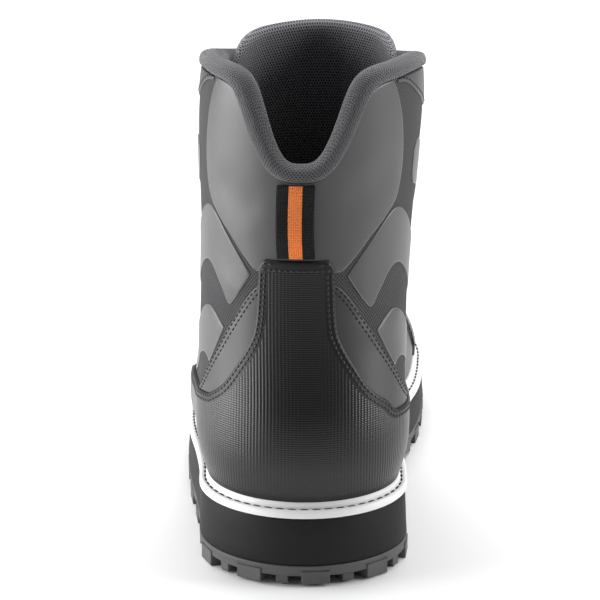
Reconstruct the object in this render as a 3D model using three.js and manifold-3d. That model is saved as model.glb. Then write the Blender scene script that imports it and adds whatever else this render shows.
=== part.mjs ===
// A left wading boot, empty and standing on its sole. Millimetres, +Z up, toe towards +Y,
// and +X towards the inner side of the foot.
//
// The upper is a stack of sections. Each section is a closed outline at one height above the
// welt, and the surface runs through them as a spline. Every other piece of the boot is worked
// out from that surface, as a distance inwards or outwards from it, or from its lowest outline.
import * as THREE from "three";
import { mergeVertices } from "three/addons/utils/BufferGeometryUtils.js";
import Module from "manifold-3d";

const wasm = await Module();
wasm.setup();

// Driving sizes of the last and the upper
const footLength = 296; // back of the heel to the tip of the toe, outside, at the welt
const ballWidth = 96; // across the ball, outside, at the welt
const legHeight = 196; // welt to the highest section
const upperWall = 2.4;
const pieceGap = 0.3; // between pieces that touch
const layerGap = 0.5; // between the upper and what is sewn on it

// Heights above the floor of the edges
const collarSideHeight = 210; // top edge of the shell at the ankle bones
const collarFrontHeight = 196; // top edge of the shell beside the tongue
const collarNotchDepth = 39; // how much lower the edge is at the back
const collarNotchAngle = 25.5; // half angle of the notch, in degrees round the leg
const throatBaseHeight = 97; // lowest point of the lacing slot
const throatBaseWidth = 30;
const throatTopWidth = 48;

// Collar padding
const padThickness = 7;
const padFrontThickness = 1.8; // beside the lacing slot
const padDepth = 46; // below the edge, inside
const rollLap = 3; // outside, below the edge
const rollThickness = 1.7;
const rollRise = 3.4; // above the shell's edge

// Tongue
const tongueHeight = 212;
const tongueThickness = 7;
const tongueTopTurn = 82; // how far round it reaches at the top, in degrees from the front
const tongueCorner = 14; // drop of its top corners
const tongueBaseWidth = 50;
const tongueClearance = 0.7; // from the padding and the upper
const tongueTuck = 26; // how far it runs under the vamp

// Sole
const weltReach = 6.4; // beyond the upper
const weltThickness = 3.5;
const beadWidth = 3;
const beadHeight = 2.6;
const midsoleHeel = 20.5;
const midsoleFore = 14.5;
const midsoleInset = 0.8; // behind the welt's edge, at the top
const midsoleFlare = 0.8; // wider again at the bottom
const outsoleBase = 4.5;
const lugHeight = 4.5;
const lugProud = 0.6; // beyond the midsole's side
const lugWidth = 12.5;
const nubWidth = 5.5;
const lugDepth = 13;
const lugGap = 3.6;
const studPitch = 22;
const studSize = 11;
const toeSpring = 14;
const archLift = 4;
const heelBevel = 1.2;
const insoleRise = 4.5; // above the welt

// Overlays on the upper
const counterThickness = 1.6;
const counterHeight = 135; // top of the strip behind the heel
const counterWingHeight = 66; // top edge along the sides
const counterStripWidth = 32.4;
const backSeamShift = -1.8; // the strip and the loop sit a little to the outer side
const counterLength = 104; // from the back of the heel
const toeCapLength = 58;
const toeCapSweep = 34; // how much further back its edge runs at the sides
const toeCapThickness = 1.6;
const eyestayThickness = 1.5;
const eyestayWidth = 21;
const eyestayDrop = 9; // below the slot
const eyestayBend = 26; // height of its rounded foot

// Lacing
const eyeletPairs = 5;
const hookPairs = 2;
const eyeletRadius = 4.4;
const eyeletHole = 2.3;
const eyeletBarrel = 3;
const eyeletFlange = 0.9;
const eyeletSet = 8; // from the edge of the slot to the row of eyelets
const eyeletSeat = 1; // between the flange and the upper, besides the eyestay
const hookWidth = 8;
const hookLength = 9;
const hookPlate = 1;
const hookMouth = 3.4; // between its base and its plate
const laceDiameter = 3.6;

// Pull loop
const loopWidth = 15.6;
const loopThickness = 1.4;
const loopStand = 7; // how far its middle stands off

// Facets
const roundSteps = 40;
const riseSteps = 14;
const soleSteps = 48;

// Sections from the welt to above the collar. Heights are shares of legHeight, lengths shares of
// footLength, and half widths shares of ballWidth. foot is 1 for the outline of a foot and 0 for
// the outline of a leg. lean is a shift to the inner side, as a share of ballWidth.
const sections = [
  { up: 0.0, back: 0.0, front: 1.0, heel: 0.393, fore: 0.491, foot: 1.0, lean: 0.0, heelRound: 0.128, toeRound: 0.21 },
  { up: 0.03, back: -0.006, front: 1.01, heel: 0.416, fore: 0.506, foot: 1.0, lean: 0.0, heelRound: 0.135, toeRound: 0.215 },
  { up: 0.08, back: -0.013, front: 1.0, heel: 0.446, fore: 0.478, foot: 1.0, lean: 0.0, heelRound: 0.145, toeRound: 0.23 },
  { up: 0.13, back: -0.013, front: 0.957, heel: 0.452, fore: 0.415, foot: 0.95, lean: 0.0, heelRound: 0.149, toeRound: 0.25 },
  { up: 0.18, back: -0.007, front: 0.875, heel: 0.449, fore: 0.365, foot: 0.8, lean: 0.0, heelRound: 0.15, toeRound: 0.265 },
  { up: 0.22, back: 0.002, front: 0.79, heel: 0.449, fore: 0.355, foot: 0.6, lean: -0.001, heelRound: 0.152, toeRound: 0.265 },
  { up: 0.27, back: 0.012, front: 0.71, heel: 0.45, fore: 0.362, foot: 0.4, lean: -0.004, heelRound: 0.158, toeRound: 0.25 },
  { up: 0.33, back: 0.023, front: 0.65, heel: 0.454, fore: 0.382, foot: 0.22, lean: -0.008, heelRound: 0.168, toeRound: 0.23 },
  { up: 0.41, back: 0.034, front: 0.603, heel: 0.457, fore: 0.406, foot: 0.1, lean: -0.012, heelRound: 0.178, toeRound: 0.215 },
  { up: 0.51, back: 0.042, front: 0.56, heel: 0.465, fore: 0.438, foot: 0.0, lean: -0.012, heelRound: 0.188, toeRound: 0.205 },
  { up: 0.63, back: 0.043, front: 0.526, heel: 0.479, fore: 0.469, foot: 0.0, lean: -0.008, heelRound: 0.195, toeRound: 0.205 },
  { up: 0.78, back: 0.037, front: 0.507, heel: 0.492, fore: 0.498, foot: 0.0, lean: 0.0, heelRound: 0.204, toeRound: 0.21 },
  { up: 0.9, back: 0.03, front: 0.5, heel: 0.466, fore: 0.476, foot: 0.0, lean: 0.006, heelRound: 0.207, toeRound: 0.214 },
  { up: 1.0, back: 0.026, front: 0.497, heel: 0.42, fore: 0.43, foot: 0.0, lean: 0.008, heelRound: 0.208, toeRound: 0.216 },
];

// Outline of the foot at equal steps from back to front. half is a share of the section's own
// half width, and centre a share of ballWidth.
const footOutline = [
  { half: 1.0, centre: 0.0 },
  { half: 1.0, centre: 0.0 },
  { half: 1.07, centre: -0.1 },
  { half: 0.95, centre: -0.13 },
  { half: 1.02, centre: -0.085 },
  { half: 0.97, centre: -0.08 },
  { half: 0.87, centre: -0.02 },
];

// Edge of the heel counter seen from behind, on one side, from the top of its strip to its wing.
// across is a share of half its strip's width, rise a share of the way from its wing to its top.
const counterEdge = [
  { across: 0.0, rise: 1.0 },
  { across: 0.75, rise: 1.0 },
  { across: 0.93, rise: 0.95 },
  { across: 1.0, rise: 0.62 },
  { across: 1.15, rise: 0.49 },
  { across: 1.5, rise: 0.34 },
  { across: 1.85, rise: 0.21 },
  { across: 2.25, rise: 0.12 },
  { across: 2.6, rise: 0.03 },
  { across: 3.6, rise: 0.0 },
];

// Basic functions

const clamp = (x, low, high) => Math.min(Math.max(x, low), high);
const mix = (a, b, share) => a + (b - a) * share;

function ramp(from, to, x) {
  const share = clamp((x - from) / (to - from), 0, 1);
  return share * share * (3 - 2 * share);
}

// A uniform cubic spline over a list of values, which passes through the first and the last.
function spline(values, at) {
  const last = values.length - 1;
  const k = clamp(Math.floor(at), 0, last - 1);
  const f = at - k;
  const value = (i) => {
    if (i < 0) return 2 * values[0] - values[1];
    if (i > last) return 2 * values[last] - values[last - 1];
    return values[i];
  };
  const before = (1 - f) ** 3 * value(k - 1);
  const here = (3 * f ** 3 - 6 * f ** 2 + 4) * value(k);
  const next = (-3 * f ** 3 + 3 * f ** 2 + 3 * f + 1) * value(k + 1);
  return (before + here + next + f ** 3 * value(k + 2)) / 6;
}

const column = {};
for (const key of Object.keys(sections[0])) column[key] = sections.map((row) => row[key]);
const outlineHalf = footOutline.map((row) => row.half);
const outlineCentre = footOutline.map((row) => row.centre);

// Heights of the sole along the foot. y is 0 at the back of the upper.

const springStart = 0.79 * footLength;
const soleTip = footLength + weltReach;
const spring = (y) => toeSpring * (Math.max(0, y - springStart) / (soleTip - springStart)) ** 2;
const heelRise = (y) => heelBevel * (1 - ramp(-weltReach, 0.07 * footLength, y));
const arch = (y) => archLift * ramp(0.34, 0.42, y / footLength) * (1 - ramp(0.5, 0.58, y / footLength));

const treadHeight = (y) => spring(y) + heelRise(y) + arch(y);
const outsoleTop = (y) => outsoleBase + lugHeight + spring(y) + arch(y);
const midsoleThickness = (y) => mix(midsoleHeel, midsoleFore, ramp(0.18, 0.7, y / footLength));
const midsoleTop = (y) => outsoleBase + lugHeight + spring(y) + midsoleThickness(y);
const weltTop = (y) => midsoleTop(y) + pieceGap + weltThickness;
const upperFoot = (y) => weltTop(y) + pieceGap;

// The upper's surface. angle is 0 at the back, a quarter turn at the inner side and half a turn
// at the front. row counts sections.

const lastRow = sections.length - 1;

function surfaceAt(angle, row) {
  const at = (key) => spline(column[key], row);
  const along = (1 - Math.cos(angle)) / 2;
  const back = at("back") * footLength;
  const front = at("front") * footLength;
  const y = mix(back, front, along);
  const foot = at("foot");
  const station = along * (footOutline.length - 1);
  const shape = mix(1, spline(outlineHalf, station), foot);
  const half = shape * ballWidth * mix(at("heel"), at("fore"), ramp(0.25, 0.65, along));
  const centre = ballWidth * (at("lean") + foot * spline(outlineCentre, station));
  const roundEnd = (share) => Math.sqrt(Math.max(0, 1 - (1 - Math.min(share, 1)) ** 2));
  const heelEnd = roundEnd((y - back) / (at("heelRound") * footLength));
  const toeEnd = roundEnd((front - y) / (at("toeRound") * footLength));
  const side = Math.sign(Math.sin(angle));
  return new THREE.Vector3(centre + side * half * heelEnd * toeEnd, y, upperFoot(y) + at("up") * legHeight);
}

// A point at a depth under the surface; a negative depth is outside it.
function pointAt(angle, row, depth) {
  const step = 1e-3;
  const low = clamp(row - step, 0, lastRow);
  const high = clamp(row + step, 0, lastRow);
  const round = surfaceAt(angle + step, row).sub(surfaceAt(angle - step, row));
  const rise = surfaceAt(angle, high).sub(surfaceAt(angle, low));
  const outward = round.cross(rise).normalize();
  return surfaceAt(angle, row).addScaledVector(outward, -depth);
}

// The section row whose surface has a height above the floor, at an angle.
function rowAtHeight(angle, height) {
  let low = 0;
  let high = lastRow;
  for (let i = 0; i < 30; i++) {
    const middle = (low + high) / 2;
    if (surfaceAt(angle, middle).z < height) low = middle;
    else high = middle;
  }
  return (low + high) / 2;
}

// A point of the welt's plane, at a distance outside the upper's lowest outline.
function outlineAt(angle, reach) {
  const step = 1e-3;
  const point = surfaceAt(angle, 0);
  const round = surfaceAt(angle + step, 0).sub(surfaceAt(angle - step, 0));
  const outward = new THREE.Vector2(round.y, -round.x).normalize();
  return new THREE.Vector2(point.x + outward.x * reach, point.y + outward.y * reach);
}

const degrees = (x) => (x * Math.PI) / 180;
const turnFromBack = (angle) => Math.abs(Math.atan2(Math.sin(angle), Math.cos(angle)));

function collarHeight(angle) {
  const fromNotch = turnFromBack(angle);
  const notch = Math.exp(-((fromNotch / degrees(collarNotchAngle)) ** 3));
  const side = mix(collarSideHeight, collarFrontHeight, ramp(degrees(60), degrees(150), turnFromBack(angle)));
  return side - collarNotchDepth * notch;
}

const collarRow = (angle) => rowAtHeight(angle, collarHeight(angle));

// Half width of the lacing slot at a height.
function throatHalf(height) {
  const share = (height - throatBaseHeight) / (collarFrontHeight - throatBaseHeight);
  return mix(throatBaseWidth, throatTopWidth, share) / 2;
}

// The angle, on the inner side, at which the upper is a given distance from the middle.
function angleAcross(row, across) {
  let low = degrees(100);
  let high = Math.PI;
  for (let i = 0; i < 30; i++) {
    const middle = (low + high) / 2;
    if (surfaceAt(middle, row).x > across) low = middle;
    else high = middle;
  }
  return (low + high) / 2;
}

// Padding inside the shell, thick round the back and thin beside the slot.
function padAt(angle) {
  return mix(padThickness, padFrontThickness, ramp(degrees(95), degrees(140), turnFromBack(angle)));
}

// Meshes and solids

// A closed body from a grid of points, closed across its columns, with its rows wrapped round.
function loftGeometry(rings) {
  const positions = [];
  const corner = (p) => positions.push(p.x, p.y, p.z);
  const quad = (a, b, c, d) => [a, b, c, a, c, d].forEach(corner);
  const count = rings[0].length;
  for (let i = 0; i + 1 < rings.length; i++) {
    for (let j = 0; j < count; j++) {
      const k = (j + 1) % count;
      quad(rings[i][j], rings[i][k], rings[i + 1][k], rings[i + 1][j]);
    }
  }
  for (const [ring, flip] of [[rings[0], true], [rings[rings.length - 1], false]]) {
    for (const [a, b, c] of capTriangles(ring)) {
      (flip ? [ring[a], ring[c], ring[b]] : [ring[a], ring[b], ring[c]]).forEach(corner);
    }
  }
  return geometryOf(positions);
}

// Triangles across a ring of points, drawn on the plane that it faces most.
function capTriangles(ring) {
  const normal = new THREE.Vector3();
  ring.forEach((p, i) => normal.add(p.clone().cross(ring[(i + 1) % ring.length])));
  const across = ring[1].clone().sub(ring[0]).normalize();
  normal.normalize();
  across.addScaledVector(normal, -across.dot(normal)).normalize();
  const up = normal.clone().cross(across);
  const flat = ring.map((p) => new THREE.Vector2(p.dot(across), p.dot(up)));
  return THREE.ShapeUtils.triangulateShape(flat, []);
}

// A closed body from a grid of points whose rows and columns both wrap round.
function torusGeometry(rings) {
  const positions = [];
  rings.forEach((ring, i) => {
    const other = rings[(i + 1) % rings.length];
    ring.forEach((a, j) => {
      const k = (j + 1) % ring.length;
      for (const p of [a, ring[k], other[k], a, other[k], other[j]]) positions.push(p.x, p.y, p.z);
    });
  });
  return geometryOf(positions);
}

function geometryOf(positions) {
  const geometry = new THREE.BufferGeometry();
  geometry.setAttribute("position", new THREE.BufferAttribute(new Float32Array(positions), 3));
  return geometry;
}

function solidOf(geometry) {
  const bare = geometry.clone();
  for (const name of Object.keys(bare.attributes)) if (name !== "position") bare.deleteAttribute(name);
  const merged = mergeVertices(bare, 1e-4);
  const mesh = (flip) => {
    const triVerts = new Uint32Array(merged.index.array);
    if (flip) triVerts.reverse();
    return new wasm.Mesh({ numProp: 3, vertProperties: merged.attributes.position.array, triVerts });
  };
  const solid = new wasm.Manifold(mesh(false));
  return solid.volume() < 0 ? new wasm.Manifold(mesh(true)) : solid;
}

function geometryFrom(solid) {
  const mesh = solid.getMesh();
  const geometry = new THREE.BufferGeometry();
  geometry.setAttribute("position", new THREE.BufferAttribute(new Float32Array(mesh.vertProperties), 3));
  geometry.setIndex(new THREE.BufferAttribute(new Uint32Array(mesh.triVerts), 1));
  const flat = geometry.toNonIndexed();
  flat.computeVertexNormals();
  return flat;
}

// An outline drawn in a plane and pushed through the boot. The plane is "behind" (x and z, pushed
// along y) or "above" (x and y, pushed along z).
function cutter(points, plane, from, to) {
  const shape = new THREE.Shape(points.map(([u, v]) => new THREE.Vector2(u, v)));
  const geometry = new THREE.ExtrudeGeometry(shape, { depth: to - from, bevelEnabled: false });
  if (plane === "behind") geometry.rotateX(Math.PI / 2).translate(0, to, 0);
  else geometry.translate(0, 0, from);
  return solidOf(geometry);
}

// Part of a skin round the boot, between two depths, from one angle to another.
function skin(angles, rowsAt, nearDepth, farDepth) {
  return angles.map((angle) => {
    const rows = rowsAt(angle);
    const near = rows.map((row) => pointAt(angle, row, nearDepth));
    const far = rows.map((row) => pointAt(angle, row, farDepth)).reverse();
    return [...near, ...far];
  });
}

const steps = (from, to, count) => Array.from({ length: count + 1 }, (_, i) => mix(from, to, i / count));

// The pieces

// The shell's facets are narrower at the back and the front than along the sides.
const roundAngles = steps(0, 2 * Math.PI, roundSteps)
  .slice(0, -1)
  .map((turn) => turn - 0.12 * Math.sin(2 * turn));
const shellRows = (angle) => steps(0, collarRow(angle), riseSteps);

// Angles of the shell's own facets between two limits, so that a layer over them lies parallel.
function facetAngles(from, to) {
  const turns = [...roundAngles.map((angle) => angle - 2 * Math.PI), ...roundAngles];
  return [from, ...turns.filter((angle) => angle > from + 0.01 && angle < to - 0.01), to];
}

// Rows of the shell's own facets, from a height above the welt to one of its rows.
function facetRows(angle, bottom, levels) {
  const low = rowAtHeight(angle, surfaceAt(angle, 0).z + bottom);
  return [low, ...shellRows(angle).slice(1, levels + 1)];
}

// The lacing slot, seen from the front, as a body that cuts through the front of the upper.
function throatCutter(margin) {
  const top = collarSideHeight + 60;
  const base = throatBaseHeight - margin;
  const half = throatBaseWidth / 2 + margin;
  const points = steps(Math.PI, 2 * Math.PI, 8).map((turn) => [
    half * Math.cos(turn),
    base + half * (1 + Math.sin(turn)),
  ]);
  const slope = (throatTopWidth - throatBaseWidth) / 2 / (collarFrontHeight - throatBaseHeight);
  const topHalf = half + slope * (top - base - half);
  points.push([topHalf, top], [-topHalf, top]);
  return cutter(points, "behind", 0.35 * footLength, 1.2 * footLength);
}

function upperShell() {
  return solidOf(torusGeometry(skin(roundAngles, shellRows, 0, upperWall)))
    .subtract(throatCutter(0))
    .subtract(eyeletCutters());
}

// Points of the counter's edge, seen from behind, once round from the strip to both wings.
function counterOutline() {
  const half = counterStripWidth / 2;
  const side = (sign) =>
    counterEdge.map(({ across, rise }) => [
      backSeamShift + sign * across * half,
      mix(counterWingHeight, counterHeight, rise),
    ]);
  const edge = [...side(-1).reverse(), ...side(1).slice(1)];
  const [first, last] = [edge[0][0], edge[edge.length - 1][0]];
  return [...edge, [last, 0], [first, 0]];
}

// A layer over the upper, from above the welt's bead to a row of the shell's facets.
function layer(from, to, levels, thickness) {
  const rows = (angle) => facetRows(angle, beadHeight + 2 * pieceGap, levels);
  return solidOf(loftGeometry(skin(facetAngles(from, to), rows, -layerGap, -layerGap - thickness)));
}

function counter() {
  const turn = degrees(90);
  return layer(-turn, turn, 12, counterThickness).intersect(
    cutter(counterOutline(), "behind", -0.1 * footLength, counterLength),
  );
}

function toeCap() {
  const turn = degrees(72);
  const half = 0.6 * ballWidth;
  const back = footLength - toeCapLength;
  const edge = steps(-1, 1, 10).map((share) => [share * half, back - toeCapSweep * share * share]);
  const front = footLength + toeCapLength;
  return layer(Math.PI - turn, Math.PI + turn, 10, toeCapThickness).intersect(
    cutter([...edge, [half, front], [-half, front]], "above", 0, legHeight),
  );
}

// Centres of eyelets and hooks up one side, from the lowest. side is 1 or -1, and hookInset moves
// the hooks' places towards the slot.
function lacePoints(side, hookInset = 0) {
  const pairs = eyeletPairs + hookPairs;
  const low = throatBaseHeight + 9;
  const high = collarFrontHeight - 12;
  return Array.from({ length: pairs }, (_, i) => {
    const height = mix(low, high, (i / (pairs - 1)) ** 1.15);
    const across = throatHalf(height) + eyeletSet - (i < eyeletPairs ? 0 : hookInset);
    let angle = degrees(150);
    for (let k = 0; k < 6; k++) {
      const row = rowAtHeight(angle, height);
      angle = angleAcross(row, across);
    }
    return { angle: side > 0 ? angle : 2 * Math.PI - angle, row: rowAtHeight(angle, height) };
  });
}

function frameAt({ angle, row }, depth) {
  const centre = pointAt(angle, row, depth);
  const outward = pointAt(angle, row, depth - 1).sub(centre).normalize();
  const up = new THREE.Vector3(0, 0, 1).addScaledVector(outward, -outward.z).normalize();
  const across = up.clone().cross(outward).normalize();
  return new THREE.Matrix4().makeBasis(across, up, outward).setPosition(centre);
}

function eyeletCutters() {
  const cutters = [1, -1].flatMap((side) =>
    lacePoints(side)
      .slice(0, eyeletPairs)
      .map((place) => {
        const hole = new THREE.CylinderGeometry(eyeletBarrel + pieceGap, eyeletBarrel + pieceGap, 16, 8);
        hole.rotateX(Math.PI / 2).applyMatrix4(frameAt(place, 0));
        return solidOf(hole);
      }),
  );
  return cutters.reduce((all, one) => all.add(one));
}

function eyestay(side) {
  const from = side > 0 ? degrees(104) : Math.PI + degrees(0.5);
  const to = side > 0 ? Math.PI - degrees(0.5) : degrees(256);
  const rows = (angle) => {
    const top = rowAtHeight(angle, collarHeight(angle) - rollLap - 1.5);
    const own = shellRows(angle);
    return [...own.slice(6, -1), Math.max(top, own[own.length - 2] + 0.02)];
  };
  const rings = skin(facetAngles(from, to), rows, -layerGap, -layerGap - eyestayThickness);
  const low = throatBaseHeight - eyestayDrop;
  const half = (height) => throatHalf(height) + eyestayWidth;
  const bend = low + eyestayBend;
  const round = steps(0, Math.PI / 2, 8).map((turn) => [
    half(bend) * Math.sin(turn),
    bend - eyestayBend * Math.cos(turn),
  ]);
  round[0][0] = pieceGap;
  const outline = [...round, [half(collarSideHeight), collarSideHeight], [pieceGap, collarSideHeight]].map(
    ([x, z]) => [side * x, z],
  );
  if (side < 0) outline.reverse();
  return solidOf(loftGeometry(rings))
    .intersect(cutter(outline, "behind", 0.3 * footLength, 1.2 * footLength))
    .subtract(throatCutter(0))
    .subtract(eyeletCutters());
}

// A point near the collar's edge: rise is square to the edge near it and straight up and down
// away from it, and depth is inwards.
function edgePoint(angle, rise, depth) {
  const step = 1e-3;
  const edge = [angle - step, angle, angle + step].map((turn) => surfaceAt(turn, collarRow(turn)));
  const run = Math.hypot(edge[2].x - edge[0].x, edge[2].y - edge[0].y);
  const stretch = Math.hypot(run, edge[2].z - edge[0].z) / run;
  const near = Math.max(rise, -rollLap);
  return pointAt(angle, rowAtHeight(angle, edge[1].z + near * stretch + rise - near), depth);
}

// The padded collar: over the shell's edge and down inside it, once round from slot to slot.
function collar() {
  const start = angleAcross(collarRow(degrees(150)), throatHalf(collarFrontHeight) + pieceGap);
  const rings = facetAngles(-start, start).map((angle) => {
    const pad = padAt(angle);
    const inside = upperWall + 1.5 * pieceGap;
    const full = inside + pad;
    const profile = [
      [-rollLap, -pieceGap],
      [-rollLap, -rollThickness * 0.7],
      [-rollLap * 0.4, -rollThickness * 1.15],
      [rollRise * 0.45, -rollThickness * 0.6],
      [rollRise, 0.25 * full],
      [rollRise * 0.95, 0.62 * full],
      [rollRise * 0.1, 0.95 * full],
      [-6, full],
      [-padDepth * 0.5, inside + pad * 0.8],
      [-padDepth, inside + pad * 0.25],
      [-padDepth, inside],
      [-padDepth * 0.7, inside],
      [-padDepth * 0.4, inside],
      [-rollLap, inside],
      [pieceGap, inside],
      [pieceGap, -pieceGap],
    ];
    return profile.map(([rise, depth]) => edgePoint(angle, rise, depth));
  });
  return solidOf(loftGeometry(rings));
}

// The tongue, inside the front of the upper, from under the vamp to above the collar.
function tongue() {
  const base = throatBaseHeight - eyestayDrop;
  const levels = 12;
  const baseTurn = (height) => Math.PI - angleAcross(rowAtHeight(Math.PI, height), tongueBaseWidth / 2);
  const rings = steps(-1, 1, 14).map((share) => {
    const round = Math.max(0, Math.abs(share) - 0.5) / 0.5;
    const top = tongueHeight - tongueCorner * (1 - Math.sqrt(1 - round ** 2.5));
    const outer = [];
    const inner = [];
    for (let i = 0; i <= levels; i++) {
      const height = mix(base - tongueTuck * 0.45, top, i / levels);
      const up = clamp((height - base) / (tongueHeight - base), 0, 1);
      const turn = Math.PI + share * mix(baseTurn(height), degrees(tongueTopTurn), up ** 0.9);
      const row = rowAtHeight(turn, height);
      const thin = 1 - 0.6 * share ** 4;
      const rolled = 1 - 0.5 * ramp(0.9, 1, i / levels);
      const depth = upperWall + pieceGap + padAt(turn) + tongueClearance;
      outer.push(pointAt(turn, row, depth));
      inner.push(pointAt(turn, row, depth + tongueThickness * thin * rolled));
    }
    return [...outer, ...inner.reverse()];
  });
  return solidOf(loftGeometry(rings));
}

// A plate of the sole between two heights, from an outline at its bottom and one at its top.
// Rungs across it follow its height from heel to toe.
function plate(lowReach, highReach, lowHeight, highHeight) {
  const half = soleSteps / 2;
  const positions = [];
  const level = (reach, height) =>
    steps(0, Math.PI, half).map((angle) =>
      [angle, -angle].map((turn) => {
        const p = outlineAt(turn, reach);
        return new THREE.Vector3(p.x, p.y, height(p.y));
      }),
    );
  const low = level(lowReach, lowHeight);
  const high = level(highReach, highHeight);
  const quad = (a, b, c, d) => {
    for (const p of [a, b, c, a, c, d]) positions.push(p.x, p.y, p.z);
  };
  for (let i = 0; i < half; i++) {
    quad(high[i][0], high[i + 1][0], high[i + 1][1], high[i][1]);
    quad(low[i][1], low[i + 1][1], low[i + 1][0], low[i][0]);
    quad(low[i][0], low[i + 1][0], high[i + 1][0], high[i][0]);
    quad(low[i + 1][1], low[i][1], high[i][1], high[i + 1][1]);
  }
  return solidOf(dropFlat(geometryOf(positions)));
}

// Leaves out triangles that have closed up to a line.
function dropFlat(geometry) {
  const from = geometry.attributes.position.array;
  const kept = [];
  const corner = (i) => new THREE.Vector3(from[i], from[i + 1], from[i + 2]);
  for (let i = 0; i < from.length; i += 9) {
    const [a, b, c] = [corner(i), corner(i + 3), corner(i + 6)];
    const near = Math.min(a.distanceTo(b), b.distanceTo(c), c.distanceTo(a));
    if (near > 1e-4) for (const p of [a, b, c]) kept.push(p.x, p.y, p.z);
  }
  return geometryOf(kept);
}

function midsole() {
  const lift = (y) => outsoleTop(y) + pieceGap;
  const top = weltReach - midsoleInset;
  return plate(top + midsoleFlare, top, lift, midsoleTop);
}

// The welt: a flat strip under the upper's edge, with a bead that stands against the upper.
function welt() {
  const angles = steps(0, 2 * Math.PI, soleSteps).slice(0, -1);
  const rings = angles.map((angle) => {
    const on = (reach, height) => {
      const p = outlineAt(angle, reach);
      return new THREE.Vector3(p.x, p.y, height(p.y));
    };
    const under = (y) => midsoleTop(y) + pieceGap;
    const foot = surfaceAt(angle, 0).z;
    const beadRow = rowAtHeight(angle, foot + beadHeight);
    const beadTop = pointAt(angle, beadRow, -2 * pieceGap);
    const beadOut = pointAt(angle, beadRow, -pieceGap - beadWidth * 0.7);
    return [
      on(-upperWall - 0.2, under),
      on(weltReach, under),
      on(weltReach, (y) => weltTop(y) - 0.6),
      on(weltReach - 0.6, weltTop),
      on(pieceGap + beadWidth, weltTop),
      beadOut,
      beadTop,
      on(2 * pieceGap, weltTop),
      on(-upperWall - 0.2, weltTop),
    ];
  });
  return solidOf(torusGeometry(rings));
}

function insole() {
  const inset = -upperWall - 2 * pieceGap - 0.2;
  return plate(inset, inset, (y) => midsoleTop(y) + pieceGap, (y) => weltTop(y) + insoleRise);
}

// One lug: a block from the tread up into the base, turned in plan. It follows the tread's rise.
function lug(x, y, length, width, turn) {
  const block = new THREE.BoxGeometry(width, length, 2).rotateZ(turn).translate(x, y, 0);
  const corners = block.attributes.position;
  for (let i = 0; i < corners.count; i++) {
    const along = corners.getY(i);
    corners.setZ(i, corners.getZ(i) > 0 ? outsoleTop(along) - outsoleBase / 2 : treadHeight(along));
  }
  return solidOf(block);
}

// Lugs round the edge of the sole, wide and narrow by turns, with equal gaps along it.
function edgeLugs() {
  const reach = weltReach - midsoleInset + midsoleFlare + lugProud - lugDepth / 2;
  const path = steps(0, 2 * Math.PI, 720).map((angle) => outlineAt(angle, reach));
  let length = 0;
  for (let i = 1; i < path.length; i++) length += path[i].distanceTo(path[i - 1]);
  const pitch = length / Math.round(length / (lugWidth + nubWidth + 2 * lugGap));
  const spare = pitch - lugWidth - nubWidth - 2 * lugGap;
  const lugs = [];
  let gone = 0;
  let next = lugWidth / 2;
  for (let i = 1; i < path.length; i++) {
    gone += path[i].distanceTo(path[i - 1]);
    if (gone < next || next > length - lugGap) continue;
    const turn = path[i].clone().sub(path[i - 1]).angle() - Math.PI / 2;
    const nub = lugs.length % 2;
    lugs.push(lug(path[i].x, path[i].y, nub ? nubWidth : lugWidth, nub ? 0.8 * lugDepth : lugDepth, turn));
    next += (lugWidth + nubWidth + spare) / 2 + lugGap;
  }
  return lugs;
}

// Lugs in the middle of the tread, in staggered rows across it.
function innerLugs() {
  const lugs = [];
  const rows = Math.floor((0.86 * footLength) / studPitch);
  for (let i = 0; i <= rows; i++) {
    const y = 0.07 * footLength + i * studPitch;
    const angle = Math.acos(clamp(1 - (2 * y) / footLength, -1, 1));
    const inner = outlineAt(angle, 0).x - lugDepth - studSize * 0.35;
    const outer = outlineAt(-angle, 0).x + lugDepth + studSize * 0.35;
    const count = Math.floor((inner - outer) / studPitch);
    for (let k = 0; k <= count; k++) {
      const x = count ? mix(outer, inner, k / count) : (inner + outer) / 2;
      lugs.push(lug(x, y, studSize, studSize, (i + k) % 2 ? Math.PI / 4 : 0));
    }
  }
  return lugs;
}

function outsole() {
  const reach = weltReach - midsoleInset + midsoleFlare;
  const bottom = (y) => outsoleTop(y) - outsoleBase;
  const base = plate(reach, reach, bottom, outsoleTop);
  return wasm.Manifold.union([base, ...edgeLugs(), ...innerLugs()]);
}

// The pull loop: a flat band that stands off the back between the collar and the counter.
function pullLoop() {
  const top = collarHeight(0) - rollLap - 1.2;
  const bottom = counterHeight + 1;
  const count = 10;
  const rings = steps(0, 1, count).map((share) => {
    const height = mix(bottom, top, share);
    const stand = loopStand * Math.sin(Math.PI * share) ** 0.8;
    const row = rowAtHeight(0, height);
    const near = pointAt(0, row, -pieceGap - stand);
    const far = pointAt(0, row, -pieceGap - stand - loopThickness);
    return [
      [near, -1],
      [near, 1],
      [far, 1],
      [far, -1],
    ].map(([p, side]) => new THREE.Vector3(backSeamShift + (side * loopWidth) / 2, p.y, p.z));
  });
  return solidOf(loftGeometry(rings));
}

// An eyelet: a flange on the eyestay and a barrel through it.
function eyelet(place) {
  const outside = eyestayThickness + eyeletSeat;
  const profile = [
    [eyeletHole, -upperWall],
    [eyeletBarrel, -upperWall],
    [eyeletBarrel, outside],
    [eyeletRadius, outside],
    [eyeletHole, outside + eyeletFlange],
    [eyeletHole, -upperWall],
  ].map(([r, z]) => new THREE.Vector2(r, z));
  const ring = new THREE.LatheGeometry(profile, 8).rotateX(Math.PI / 2).applyMatrix4(frameAt(place, 0));
  return solidOf(ring);
}

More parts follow.
